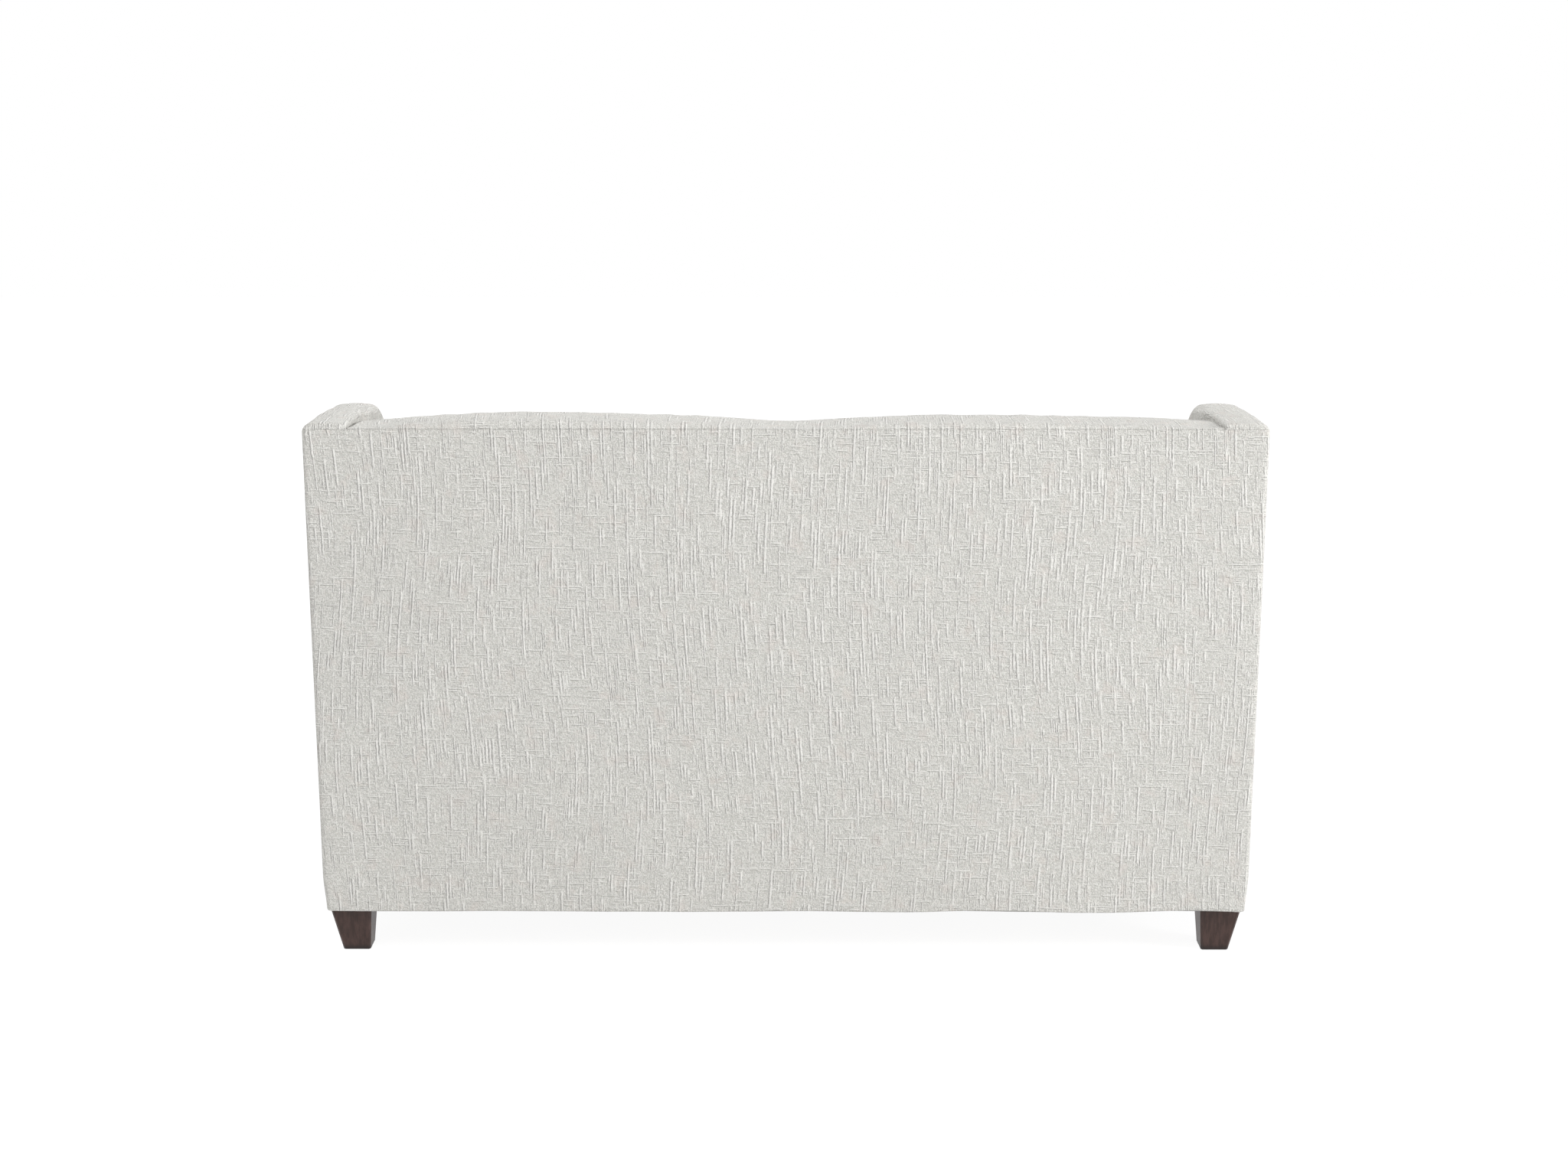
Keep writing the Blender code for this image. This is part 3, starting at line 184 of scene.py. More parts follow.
# Seams, wraps, aprons and lining

SEAM_RADIUS = 0.0024
SEAM_SINK = 0.0007
SEAM_CORNER = 0.03
SEAM_STEP = 0.008
SEAM_RAY = 0.08
SEAM_SIDES = 8
WRAP_CORNER = 0.004
WRAP_STEP = 0.012
WRAP_GAP = 0.0003
WRAP_FRONT_LIP = 0.014
BOARD_REAR_LIP = 0.004
PANEL_REAR_LIP = 0.02
PANEL_WRAP_FLOOR = 0.61
WRAP_CLOTH = 0.0011
SKIRT_INSET = 0.003
SKIRT_REAR_RISE = 0.03
SKIRT_TOP_GAP = 0.004
SKIRT_EDGE = 0.0004
SKIRT_EASE = 0.0004
APRON_SHORT = 0.014
APRON_END = 0.008
APRON_SQUARENESS = 0.6
LINING_DEPTH = 0.007
LINING_LEAST = 0.0006
LINING_EDGE = 0.004
LINING_SIDE_EDGE = 0.006
LINING_SAG = 0.0012
LINING_COLUMNS = 150


# Numbers

def smooth(share):
    """Nought below nought, one above one, and a soft step between."""
    share = np.clip(share, 0.0, 1.0)
    return share * share * (3 - 2 * share)


def fade(distance, over):
    """Nought at nought and one from the given distance on."""
    return smooth(distance / over)


def wobble(seed, reach, *places):
    """A soft wandering value between about -1 and 1, which changes over the reach."""
    draw = np.random.default_rng(seed)
    waves = 7
    least_stretch, most_stretch, peak = 0.6, 1.6, 1.6
    total = 0.0
    for _ in range(waves):
        turn = draw.uniform(0, 2 * math.pi)
        stretch = draw.uniform(least_stretch, most_stretch)
        phase = draw.uniform(0, 2 * math.pi)
        along = places[0] * math.cos(turn)
        if len(places) > 1:
            along = along + places[1] * math.sin(turn)
        total = total + np.sin(2 * math.pi * along * stretch / reach + phase)
    return total / math.sqrt(waves) / peak


def quarter(count):
    """Angles of a quarter turn, both ends included."""
    return np.linspace(0, math.pi / 2, count)


def run_lengths(first, second):
    """How far along a path each of its points lies."""
    return np.concatenate([[0], np.cumsum(np.hypot(np.diff(first), np.diff(second)))])


# Node trees

class Tree:
    """Short calls for building one material's nodes."""

    def __init__(self, name):
        self.material = bpy.data.materials.new(name)
        self.material.use_nodes = True
        self.nodes = self.material.node_tree.nodes
        self.links = self.material.node_tree.links
        self.shader = self.nodes["Principled BSDF"]

    def put(self, value, socket):
        """Links a node's output into the socket, or sets a plain value on it."""
        if isinstance(value, bpy.types.NodeSocket):
            self.links.new(value, socket)
        else:
            socket.default_value = value

    def maths(self, operation, first, second=None, third=None, clamp=False):
        node = self.nodes.new("ShaderNodeMath")
        node.operation = operation
        node.use_clamp = clamp
        for place, value in enumerate((first, second, third)):
            if value is not None:
                self.put(value, node.inputs[place])
        return node.outputs[0]

    def remap(self, value, low, high, to_low=0.0, to_high=1.0, soft=True):
        """Carries the span from low to high over to another one, and stays inside it."""
        node = self.nodes.new("ShaderNodeMapRange")
        node.interpolation_type = "SMOOTHSTEP" if soft else "LINEAR"
        for place, given in enumerate((value, low, high, to_low, to_high)):
            self.put(given, node.inputs[place])
        return node.outputs[0]

    def mixed(self, share, first, second):
        """The first colour, turning into the second as the share goes to one."""
        node = self.nodes.new("ShaderNodeMix")
        node.data_type = "RGBA"
        self.put(share, node.inputs[0])
        for value, socket in ((first, node.inputs[6]), (second, node.inputs[7])):
            if not isinstance(value, bpy.types.NodeSocket):
                value = (*value, 1.0)
            self.put(value, socket)
        return node.outputs[2]

    def split(self, vector):
        node = self.nodes.new("ShaderNodeSeparateXYZ")
        self.links.new(vector, node.inputs[0])
        return node.outputs[0], node.outputs[1], node.outputs[2]

    def joined(self, first, second, third=0.0):
        node = self.nodes.new("ShaderNodeCombineXYZ")
        for place, value in enumerate((first, second, third)):
            self.put(value, node.inputs[place])
        return node.outputs[0]

    def noise(self, vector, scale, detail=1.0, roughness=0.5, dimensions="2D"):
        node = self.nodes.new("ShaderNodeTexNoise")
        node.noise_dimensions = dimensions
        self.links.new(vector, node.inputs["Vector"])
        node.inputs["Scale"].default_value = scale
        node.inputs["Detail"].default_value = detail
        node.inputs["Roughness"].default_value = roughness
        return node.outputs[0]

    def attribute(self, name):
        node = self.nodes.new("ShaderNodeAttribute")
        node.attribute_name = name
        return node.outputs["Vector"]

    def position(self):
        return self.nodes.new("ShaderNodeTexCoord").outputs["Object"]

    def stretched(self, *scales):
        """The object's own coordinates, each multiplied by its scale."""
        return self.joined(*(self.maths("MULTIPLY", value, scale)
                             for value, scale in zip(self.split(self.position()), scales)))

    def bump(self, height):
        """Bends the normals by a height given in metres."""
        node = self.nodes.new("ShaderNodeBump")
        node.inputs["Strength"].default_value = 1.0
        node.inputs["Distance"].default_value = 1.0
        self.links.new(height, node.inputs["Height"])
        self.links.new(node.outputs[0], self.shader.inputs["Normal"])

    def set(self, **values):
        for name, value in values.items():
            socket = self.shader.inputs[name.replace("_", " ")]
            if isinstance(value, tuple):
                value = (*value, 1.0)
            self.put(value, socket)


# Fabric

def yarns(tree, across, along, pitch, reach, low, high):
    """Thick places of the yarns that lie along one direction, from nought to one."""
    row_jump = 3.71
    row = tree.maths("DIVIDE", across, pitch)
    number = tree.maths("FLOOR", row)
    centre = tree.maths("MULTIPLY_ADD", tree.maths("FRACT", row), 2.0, -1.0)
    round_top = tree.maths("SUBTRACT", 1.0, tree.maths("MULTIPLY", centre, centre))
    place = tree.joined(tree.maths("MULTIPLY", number, row_jump), tree.maths("DIVIDE", along, reach))
    swell = tree.remap(tree.noise(place, 1.0, 1.0), low, high)
    return tree.maths("MULTIPLY", swell, round_top)


def fabric_material(name, ground, yarn, tint):
    """A nubbly woven cloth: a plain ground with raised slub yarns both ways."""
    tree = Tree(name)
    weave = tree.attribute("weave")
    across, along, _ = tree.split(weave)
    sweep = tree.noise(weave, scale=2.2, detail=0.0)
    wander = tree.noise(weave, scale=45.0, detail=2.0, roughness=0.6)
    bead = tree.noise(weave, scale=190.0)
    other = tree.noise(tree.joined(along, across), scale=40.0, detail=2.0, roughness=0.6)
    nub = tree.noise(weave, scale=640.0, detail=3.0, roughness=0.8)
    patch = tree.noise(weave, scale=26.0, detail=3.0, roughness=0.6)

    stray = tree.maths("MULTIPLY_ADD", sweep, SWEEP_STRAY, tree.maths("MULTIPLY", wander, WANDER_STRAY))
    stray = tree.maths("MULTIPLY_ADD", bead, BEAD_STRAY, stray)
    across_bent = tree.maths("ADD", across, stray)
    along_bent = tree.maths("MULTIPLY_ADD", other, WEFT_STRAY, along)
    warp_slub, warp_cord, warp_fine = (
        yarns(tree, across_bent, along, *sizes) for sizes in (WARP_SLUB, WARP_CORD, WARP_FINE))
    weft_slub, weft_cord, weft_fine = (
        yarns(tree, along_bent, across, *sizes) for sizes in (WEFT_SLUB, WEFT_CORD, WEFT_FINE))
    warp = tree.maths("MAXIMUM", warp_slub, tree.maths("MULTIPLY", warp_cord, WARP_CORD_SHARE))
    weft = tree.maths("MAXIMUM", weft_slub, tree.maths("MULTIPLY", weft_cord, WEFT_CORD_SHARE))
    thick = tree.maths("MAXIMUM", warp, tree.maths("MULTIPLY", weft, WEFT_SHARE))
    fine = tree.maths("MAXIMUM", warp_fine, weft_fine)

    height = tree.maths("MAXIMUM", tree.maths("MULTIPLY", warp, WARP_HEIGHT),
                        tree.maths("MULTIPLY", weft, WEFT_HEIGHT))
    height = tree.maths("MULTIPLY_ADD", fine, FINE_HEIGHT, height)
    tree.bump(tree.maths("MULTIPLY_ADD", nub, NUB_HEIGHT, height))

    light = tree.maths("MULTIPLY_ADD", thick, SLUB_LIGHT, tree.maths("MULTIPLY", fine, FINE_LIGHT))
    light = tree.maths("MULTIPLY_ADD", nub, NUB_LIGHT, tree.maths("ADD", light, LEAST_LIGHT))
    light = tree.maths("MULTIPLY_ADD", patch, PATCH_LIGHT, light, clamp=True)
    blush = tree.remap(patch, 0.54, 0.75, to_high=0.40)
    colour = tree.mixed(blush, tree.mixed(light, ground, yarn), tint)
    tree.set(Base_Color=colour, Roughness=tree.remap(light, 0.0, 1.0, 0.98, 0.86, soft=False))
    tree.set(Sheen_Weight=0.12, Sheen_Roughness=0.45, Specular_IOR_Level=0.2)
    return tree.material


# Hard materials

def espresso_material():
    """Dark stained and lacquered wood, with painted contact shade darkening each foot near the floor."""
    contact_shade_colour, dark, light = (0.016, 0.011, 0.010), (0.040, 0.022, 0.018), (0.068, 0.038, 0.032)
    contact_shade_height = 0.012
    tree = Tree("espresso_wood")
    _, _, z = tree.split(tree.position())
    grain = tree.noise(tree.stretched(7.0, 7.0, 1.0), scale=26.0, detail=6.0, roughness=0.62, dimensions="3D")
    pores = tree.noise(tree.stretched(12.0, 12.0, 1.0), scale=60.0, detail=3.0, roughness=0.6,
                       dimensions="3D")
    colour = tree.mixed(tree.remap(grain, 0.36, 0.66), dark, light)
    # painted shade: the lowest part of each foot is darkened where its contact shadow on the floor falls
    colour = tree.mixed(tree.remap(z, 0.0, contact_shade_height), contact_shade_colour, colour)
    tree.set(Base_Color=colour, Roughness=tree.remap(pores, 0.3, 0.7, 0.32, 0.52, soft=False))
    tree.set(Coat_Weight=0.06, Coat_Roughness=0.3, Specular_IOR_Level=0.28)
    grain_depth, pore_depth = 0.00022, 0.00012
    tree.bump(tree.maths("MULTIPLY_ADD", pores, pore_depth, tree.maths("MULTIPLY", grain, grain_depth)))
    return tree.material


def plywood_material():
    """Bare plywood, with broad growth rings and fine fibres."""
    ring_dark, ring_light, fibre_colour = (0.42, 0.27, 0.14), (0.56, 0.39, 0.22), (0.34, 0.21, 0.11)
    ring_turns = 75.0
    fibre_depth = 0.0003
    tree = Tree("plywood")
    flow = tree.noise(tree.stretched(1.2, 1.2, 5.0), scale=5.0, detail=4.0, roughness=0.6, dimensions="3D")
    rings = tree.maths("SINE", tree.maths("MULTIPLY", flow, ring_turns))
    fibre = tree.noise(tree.stretched(2.0, 2.0, 26.0), scale=40.0, detail=4.0, roughness=0.65,
                       dimensions="3D")
    colour = tree.mixed(tree.remap(rings, -1.0, 1.0), ring_dark, ring_light)
    colour = tree.mixed(tree.remap(fibre, 0.35, 0.75), colour, fibre_colour)
    tree.set(Base_Color=colour, Roughness=tree.remap(fibre, 0.2, 0.8, 0.55, 0.78, soft=False))
    tree.set(Specular_IOR_Level=0.4)
    tree.bump(tree.maths("MULTIPLY", fibre, fibre_depth))
    return tree.material


def steel_material():
    """Black coated steel, rubbed bare in places along its edges."""
    coat_dark, coat_light, bare = (0.030, 0.031, 0.034), (0.055, 0.056, 0.060), (0.42, 0.41, 0.40)
    speckle_depth = 0.00012
    tree = Tree("coated_steel")
    place = tree.position()
    speckle = tree.noise(place, scale=900.0, detail=2.0, roughness=0.6, dimensions="3D")
    smear = tree.noise(place, scale=14.0, detail=5.0, roughness=0.6, dimensions="3D")
    geometry = tree.nodes.new("ShaderNodeNewGeometry")
    edge = tree.remap(geometry.outputs["Pointiness"], 0.53, 0.60)
    worn = tree.maths("MULTIPLY", edge, tree.remap(smear, 0.42, 0.62))
    colour = tree.mixed(tree.remap(smear, 0.3, 0.75), coat_dark, coat_light)
    tree.set(Base_Color=tree.mixed(worn, colour, bare), Metallic=worn)
    tree.set(Roughness=tree.remap(speckle, 0.25, 0.75, 0.34, 0.52, soft=False))
    tree.bump(tree.maths("MULTIPLY", speckle, speckle_depth))
    return tree.material


CREAM = fabric_material("slub_fabric", CLOTH_GROUND, CLOTH_YARN, CLOTH_BLUSH)
ESPRESSO = espresso_material()
PLYWOOD = plywood_material()
STEEL = steel_material()


# Pieces

def lay_weave(piece, shift):
    """Weave coordinates in metres from each face's own direction, as panels are cut."""
    mesh = piece.data
    loops = len(mesh.loops)
    corner_vertex = np.zeros(loops, int)
    mesh.loops.foreach_get("vertex_index", corner_vertex)
    places = np.zeros(len(mesh.vertices) * 3)
    mesh.vertices.foreach_get("co", places)
    places = places.reshape(-1, 3)[corner_vertex]
    normals = np.zeros(len(mesh.polygons) * 3)
    mesh.polygons.foreach_get("normal", normals)
    sizes = np.zeros(len(mesh.polygons), int)
    mesh.polygons.foreach_get("loop_total", sizes)
    main = np.repeat(np.abs(normals.reshape(-1, 3)).argmax(1), sizes)
    across = np.where(main == 0, places[:, 1], places[:, 0])
    along = np.where(main == 2, places[:, 1], places[:, 2])
    weave = np.stack([across + shift + main * PANEL_SHIFT, along + shift * ALONG_SHARE, np.zeros(loops)], 1)
    layer = mesh.attributes.new("weave", "FLOAT_VECTOR", "CORNER")
    layer.data.foreach_set("vector", weave.astype(np.float32).ravel())


def soften(mesh):
    """Shades every face smooth."""
    mesh.polygons.foreach_set("use_smooth", np.ones(len(mesh.polygons), bool))


def object_from_rings(name, rings, weave=None):
    """A closed form through rings of points, with a flat face at each end."""
    count, around = rings.shape[:2]
    index = np.arange(count * around).reshape(count, around)
    near, far = index[:-1], index[1:]
    quads = np.stack([near, np.roll(near, -1, 1), np.roll(far, -1, 1), far], -1).reshape(-1, 4)
    mesh = bpy.data.meshes.new(name)
    faces = quads.tolist() + [index[0][::-1].tolist(), index[-1].tolist()]
    mesh.from_pydata(rings.reshape(-1, 3).tolist(), [], faces)
    if weave is not None:
        layer = mesh.attributes.new("weave", "FLOAT_VECTOR", "POINT")
        flat = np.concatenate([weave, np.zeros((count, around, 1))], -1)
        layer.data.foreach_set("vector", flat.astype(np.float32).ravel())
    turned = bmesh.new()
    turned.from_mesh(mesh)
    bmesh.ops.recalc_face_normals(turned, faces=turned.faces)
    turned.to_mesh(mesh)
    turned.free()
    soften(mesh)
    piece = bpy.data.objects.new(name, mesh)
    bpy.context.scene.collection.objects.link(piece)
    return piece


def place_piece(piece, body, replaced=()):
    """Gives a piece of upholstery its cloth and its body, and hides the CAD nodes it replaces."""
    piece.data.materials.clear()
    piece.data.materials.append(CREAM)
    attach(piece, body)
    if replaced:
        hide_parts(*replaced)
    return piece


def join_pieces(first, second):
    """Takes the second piece into the first."""
    joined = bmesh.new()
    joined.from_mesh(first.data)
    joined.from_mesh(second.data)
    joined.to_mesh(first.data)
    joined.free()
    bpy.data.objects.remove(second)
    soften(first.data)


# Outside back

def fuller_at(height):
    """How much fuller the outer sides stand toward the top."""
    return TOP_PROUD * smooth((height - 0.05) / 0.9)


def side_at(height):
    """Where the fabric of the outer sides stands, with the rounded corner at its top."""
    rise = np.clip(height - (WING_HEIGHT - REAR_CORNER), 0, REAR_CORNER)
    corner = REAR_CORNER - np.sqrt(REAR_CORNER ** 2 - rise ** 2)
    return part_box("outside_back")[1].x + SIDE_PROUD + fuller_at(height) - corner


def back_levels(low, high):
    """Heights of the outside back's sections, and how far its rolled edges draw each one in."""
    levels = []
    for place, roll, way in ((low.z, HEM_ROLL, -1), (high.z, BACK_ROLL, 1)):
        levels += [(place - way * roll * (1 - math.sin(a)), roll * (1 - math.cos(a))) for a in quarter(6)]
    zone = high.z - SEAM_ZONE
    levels += [(z, 0.0) for z in np.linspace(low.z + HEM_ROLL, zone, BACK_ROWS)[1:]]
    levels += [(z, 0.0) for z in np.linspace(zone, high.z - BACK_ROLL, SEAM_ROWS)[1:-1]]
    return sorted(levels)


def back_ring(height, inset, low, high):
    """A level section of the outside back, which starts in the middle of its hidden face."""
    half = side_at(height)
    turn = quarter(7)[1:-1]
    rear_x = np.linspace(-1, 1, BACK_COLUMNS) * (half - BACK_EDGE - inset)
    rear_y = np.full_like(rear_x, high.y - inset)
    corner_x = half - BACK_EDGE + BACK_EDGE * np.sin(turn) - inset
    corner_y = high.y - BACK_EDGE + BACK_EDGE * np.cos(turn) - inset
    hidden_x = np.linspace(half - inset, -(half - inset), 2 * HIDDEN_COLUMNS)
    hidden_y = np.full(HIDDEN_COLUMNS, low.y)
    x = np.concatenate([hidden_x[HIDDEN_COLUMNS:], -corner_x[::-1], rear_x, corner_x,
                        hidden_x[:HIDDEN_COLUMNS]])
    y = np.concatenate([hidden_y, corner_y[::-1], rear_y, corner_y, hidden_y])
    z = np.full_like(x, height)
    length = run_lengths(x, y)
    length += rear_x[0] - length[HIDDEN_COLUMNS + len(corner_x)]
    return np.stack([x, y, z], -1), np.stack([length, z], -1)


def build_outside_back():
    low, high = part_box("outside_back")
    sections = [back_ring(height, inset, low, high) for height, inset in back_levels(low, high)]
    rings = np.array([ring for ring, _ in sections])
    weave = np.array([lengths for _, lengths in sections])
    x, y, z = rings[..., 0], rings[..., 1], rings[..., 2]
    half = side_at(high.z)
    rear = fade(y - low.y, over=0.02)
    across = np.abs(x) / half
    inner = fade(1 - across, over=0.06) * fade(z - low.z, over=0.05) * fade(high.z - z, over=0.04)
    near_hem = smooth(1 - (z - low.z) / 0.07)
    below_seam = high.z - z
    near_seam = np.exp(-(below_seam / 0.035) ** 2) * (1 - np.exp(-(below_seam / 0.006) ** 2))
    y += rear * CLOTH_SWELL * inner * wobble(3, 0.55, x, z)
    y += rear * SEAM_PUCKER * near_seam * wobble(5, 0.05, x)
    y += rear * CLOTH_SWELL * near_hem * wobble(9, 0.2, x)
    wave_share = HIDDEN_WAVE_SHARE + (1 - HIDDEN_WAVE_SHARE) * rear
    z += near_hem * HEM_WAVE * wobble(8, 0.30, x) * wave_share
    np.maximum(z, low.z - 0.001, out=z)
    x *= 1 - HEM_TUCK * near_hem * fade(across - 0.9, over=0.1) / half
    piece = object_from_rings("outside_back_cover", rings, weave)
    return place_piece(piece, "shell", ["outside_back"])


# Crown band

def crown_tops(x):
    """Height of the crown's top along the back: a hump behind each seat and a dip between."""
    kernel = np.hanning(CROWN_EASE)
    padded = np.pad(np.interp(x, CROWN_PLACES, CROWN_HEIGHTS), CROWN_EASE // 2, mode="edge")
    return np.convolve(padded, kernel / kernel.sum(), mode="valid")


def crown_ring(x, top, inset, front, bottom, rear):
    """A section across the crown, from its underside over the rear roll and the top to the front."""
    seam = SEAM_HEIGHT + TOUCH_GAP
    angles = quarter(8)
    roll = max(top - CROWN_REAR_DROP - seam, CROWN_LEAST_ROLL)
    back = rear - inset * 0.15
    rear_y = back - CROWN_REAR_REACH + CROWN_REAR_REACH * np.cos(angles)
    rear_z = seam + CROWN_CHAMFER + roll * np.sin(angles)
    last_y = front + CROWN_FRONT_ROLL + inset * 0.5
    run = np.linspace(0, 1, 26)[1:-1]
    body_y = rear_y[-1] + (last_y - rear_y[-1]) * run
    body_z = rear_z[-1] + (top - rear_z[-1]) * np.sin(np.minimum(run * 1.7, 1.0) * math.pi / 2)
    body_z -= CROWN_TOP_FALL * smooth(run * 2 - 1)
    front_y = last_y - CROWN_FRONT_ROLL * np.sin(angles)
    front_z = body_z[-1] - CROWN_FRONT_ROLL * (1 - np.cos(angles))
    drop_z = np.linspace(front_z[-1], bottom, 6)[1:]
    drop_y = np.full_like(drop_z, front_y[-1])
    under_y = np.linspace(CROWN_INNER_Y, back - CROWN_CHAMFER, 4)
    under_z = np.full_like(under_y, seam)
    y = np.concatenate([under_y, rear_y, body_y, front_y, drop_y, [CROWN_INNER_Y]])
    z = np.concatenate([under_z, rear_z, body_z, front_z, drop_z, [bottom]])
    x = np.full_like(y, x)
    return np.stack([x, y, z], -1), np.stack([x, SEAM_HEIGHT + run_lengths(y, z) - 0.04], -1)


def build_crown():
    low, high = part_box("crown_pad")
    half = high.x - TOUCH_GAP
    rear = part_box("outside_back")[1].y
    ends = [(half - CROWN_END * (1 - math.sin(a)), CROWN_END * (1 - math.cos(a))) for a in quarter(8)]
    middle = half - CROWN_END
    stations = [(-x, inset) for x, inset in ends] + ends
    stations += [(x, 0.0) for x in np.linspace(-middle, middle, CROWN_STATIONS)[1:-1]]
    fine_x = np.linspace(-half, half, 300)
    tops = crown_tops(fine_x)
    rings, weave = [], []
    for x, inset in sorted(stations):
        top = float(np.interp(x, fine_x, tops)) - inset * 0.75
        ring, lengths = crown_ring(x, top, inset, low.y, low.z, rear)
        rings.append(ring)
        weave.append(lengths)
    rings = np.array(rings)
    x, y, z = rings[..., 0], rings[..., 1], rings[..., 2]
    up = fade(z - SEAM_HEIGHT - TOUCH_GAP - 0.002, over=0.006)
    z += up * 0.0009 * wobble(21, 0.05, x, y * 0.4)
    y += up * fade(y - 0.45, over=0.03) * 0.0006 * wobble(22, 0.04, x)
    piece = object_from_rings("crown_band", rings, np.array(weave))
    return place_piece(piece, "shell", ["crown_pad"])


# Arms and wings

def arm_top(y):
    """Height of the arm's top at a depth: the wing, its sweep down and the level arm."""
    return WING_HEIGHT - (WING_HEIGHT - ARM_HEIGHT) * smooth((SWEEP_REAR_Y - y) / SWEEP_DEPTH)


def taper_at(height):
    """How much of its taper the wing's inner face has at a height."""
    return np.clip((height - TAPER_FOOT) / TAPER_RISE, 0, 1)


def edge_run(bottom, top, radius, count):
    """Heights and ways in from the side, up a wall and over its rounded top edge."""
    wall_top = top - radius
    if wall_top > bottom + 0.001:
        turns = quarter(8)
        rise = np.linspace(bottom, wall_top, count - len(turns))
        inward = np.concatenate([np.zeros_like(rise), radius - radius * np.cos(turns[1:])])
        heights = np.concatenate([rise, wall_top + radius * np.sin(turns[1:])])
        return heights, inward
    first = math.asin(min(max((bottom - wall_top) / radius, 0.0), 0.999))
    turns = np.linspace(first, math.pi / 2, count - 1)
    return wall_top + radius * np.sin(turns), radius - radius * np.cos(turns)


def arm_ring(y, bottom, top, inset, half):
    """A section across the right arm, from the outer foot over the top to the inner foot."""
    on_sweep = float(fade(y - 0.05, over=0.12))
    on_wing = float(fade(y - 0.24, over=0.12))
    outer_edge = (ARM_EDGE + on_sweep * (WING_OUTER_EDGE - ARM_EDGE)
                  - on_wing * (WING_OUTER_EDGE - REAR_CORNER))
    inner_edge = (ARM_EDGE - on_sweep * (ARM_EDGE - SWEEP_INNER_EDGE)
                  - on_wing * (SWEEP_INNER_EDGE - WING_INNER_EDGE))
    at_rear = float(fade(y - 0.31, over=0.05))
    taper = WING_TAPER * (TAPER_FRONT_SHARE + (1 - TAPER_FRONT_SHARE) * at_rear)
    outer_z, outer_in = edge_run(bottom, top, outer_edge, ARM_SIDE_COUNT)
    outer_x = half - inset + fuller_at(outer_z) - outer_in
    inner_z, inner_in = (run[::-1] for run in edge_run(bottom, top, inner_edge, ARM_SIDE_COUNT))
    inner_x = ARM_INNER + taper * taper_at(inner_z) + inset + inner_in
    flat = np.linspace(0, 1, 9)[1:-1]
    flat_x = outer_x[-1] + (inner_x[0] - outer_x[-1]) * flat
    flat_z = top + 0.0016 * np.sin(math.pi * flat)
    under_x = np.linspace(inner_x[-1], outer_x[0], 10)[1:-1]
    under_z = np.full_like(under_x, bottom)
    x = np.concatenate([outer_x, flat_x, inner_x, under_x])
    z = np.concatenate([outer_z, flat_z, inner_z, under_z])
    return np.stack([x, np.full_like(x, y), z], -1)


def arm_sections(front, rear, bottom):
    """Depth, foot, inset and fall of each section, from the rounded front to the rolled rear."""
    edge, roll = ARM_FRONT_EDGE, WING_REAR_ROLL
    sections = [(front + edge * (1 - math.cos(a)), bottom, edge * (1 - math.sin(a)), 0.0) for a in quarter(9)]
    stops = (front + edge, front + 0.06, *ARM_STOPS_Y, rear)
    for start, end, count in zip(stops, stops[1:], ARM_STOP_COUNTS):
        sections += [(y, bottom, 0.0, 0.0) for y in np.linspace(start, end, count)[1:]]
    over_back = SEAM_HEIGHT + TOUCH_GAP
    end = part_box("outside_back")[1].y
    sections += [(y, over_back, 0.0, 0.0) for y in np.linspace(rear, end - roll, 5)]
    sections += [(end - roll + roll * math.sin(a), over_back, 0.0, roll * (1 - math.cos(a)))
                 for a in quarter(8)[1:]]
    return sections


def front_caps(cap, front):
    """Smaller and smaller copies of the first section, which close the arm's front in a low swell."""
    low, high = cap.min(axis=0), cap.max(axis=0)
    middle, half = (low + high) / 2, (high - low) / 2
    caps = []
    for share in (0.1, 0.3, 0.55, 0.8):
        inner = cap.copy()
        inner[:, 0] = middle[0] + (cap[:, 0] - middle[0]) * share
        inner[:, 2] = middle[2] + (cap[:, 2] - middle[2]) * (half[2] - half[0] * (1 - share)) / half[2]
        inner[:, 1] = front - ARM_FRONT_BULGE * (1 - share * share)
        caps.append(inner)
    return np.array(caps)


def build_arm(side):
    name = "right" if side > 0 else "left"
    low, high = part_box("right_arm_cover")
    front, rear, bottom = low.y, high.y, low.z
    rings = []
    for y, foot, inset, fall in arm_sections(front, rear, bottom):
        top = float(arm_top(y)) - fall
        ahead = y - front
        if ahead < ARM_NOSE:
            top -= ARM_NOSE - math.sqrt(max(ARM_NOSE ** 2 - (ARM_NOSE - ahead) ** 2, 0.0))
        rings.append(arm_ring(y, foot, top - inset, inset, high.x + SIDE_PROUD))
    rings = np.concatenate([front_caps(rings[0], front), np.array(rings)])
    x, y, z = rings[..., 0], rings[..., 1], rings[..., 2]
    below_top = arm_top(y) - z
    outer = fade(x - 0.77, over=0.03)
    inner = 1 - fade(x - 0.72, over=0.03)
    face = fade(below_top, over=0.06) * fade(z - bottom, over=0.06)
    face = face * fade(y - front, over=0.05) * fade(rear - y, over=0.04)
    x += (outer * 0.0011 - inner * 0.0014) * face * wobble(31 + side, 0.42, y, z)
    lift = fade(0.03 - below_top, over=0.03) * fade(y - front, over=0.05) * fade(rear - y, over=0.05)
    z += lift * 0.0010 * wobble(33 + side, 0.09, y)
    x *= side
    piece = object_from_rings(f"{name}_arm_upholstery", rings)
    lay_weave(piece, 1.7 * side)
    return place_piece(piece, "shell", [f"{name}_arm_cover"])


# Cushions

def copy_of_node(node, name):
    """A welded copy of a CAD node's mesh, as a piece of its own."""
    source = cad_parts[node]
    piece = bpy.data.objects.new(name, source.data.copy())
    bpy.context.scene.collection.objects.link(piece)
    welded = bmesh.new()
    welded.from_mesh(piece.data)
    bmesh.ops.remove_doubles(welded, verts=welded.verts, dist=WELD_DISTANCE)
    welded.to_mesh(piece.data)
    welded.free()
    return piece


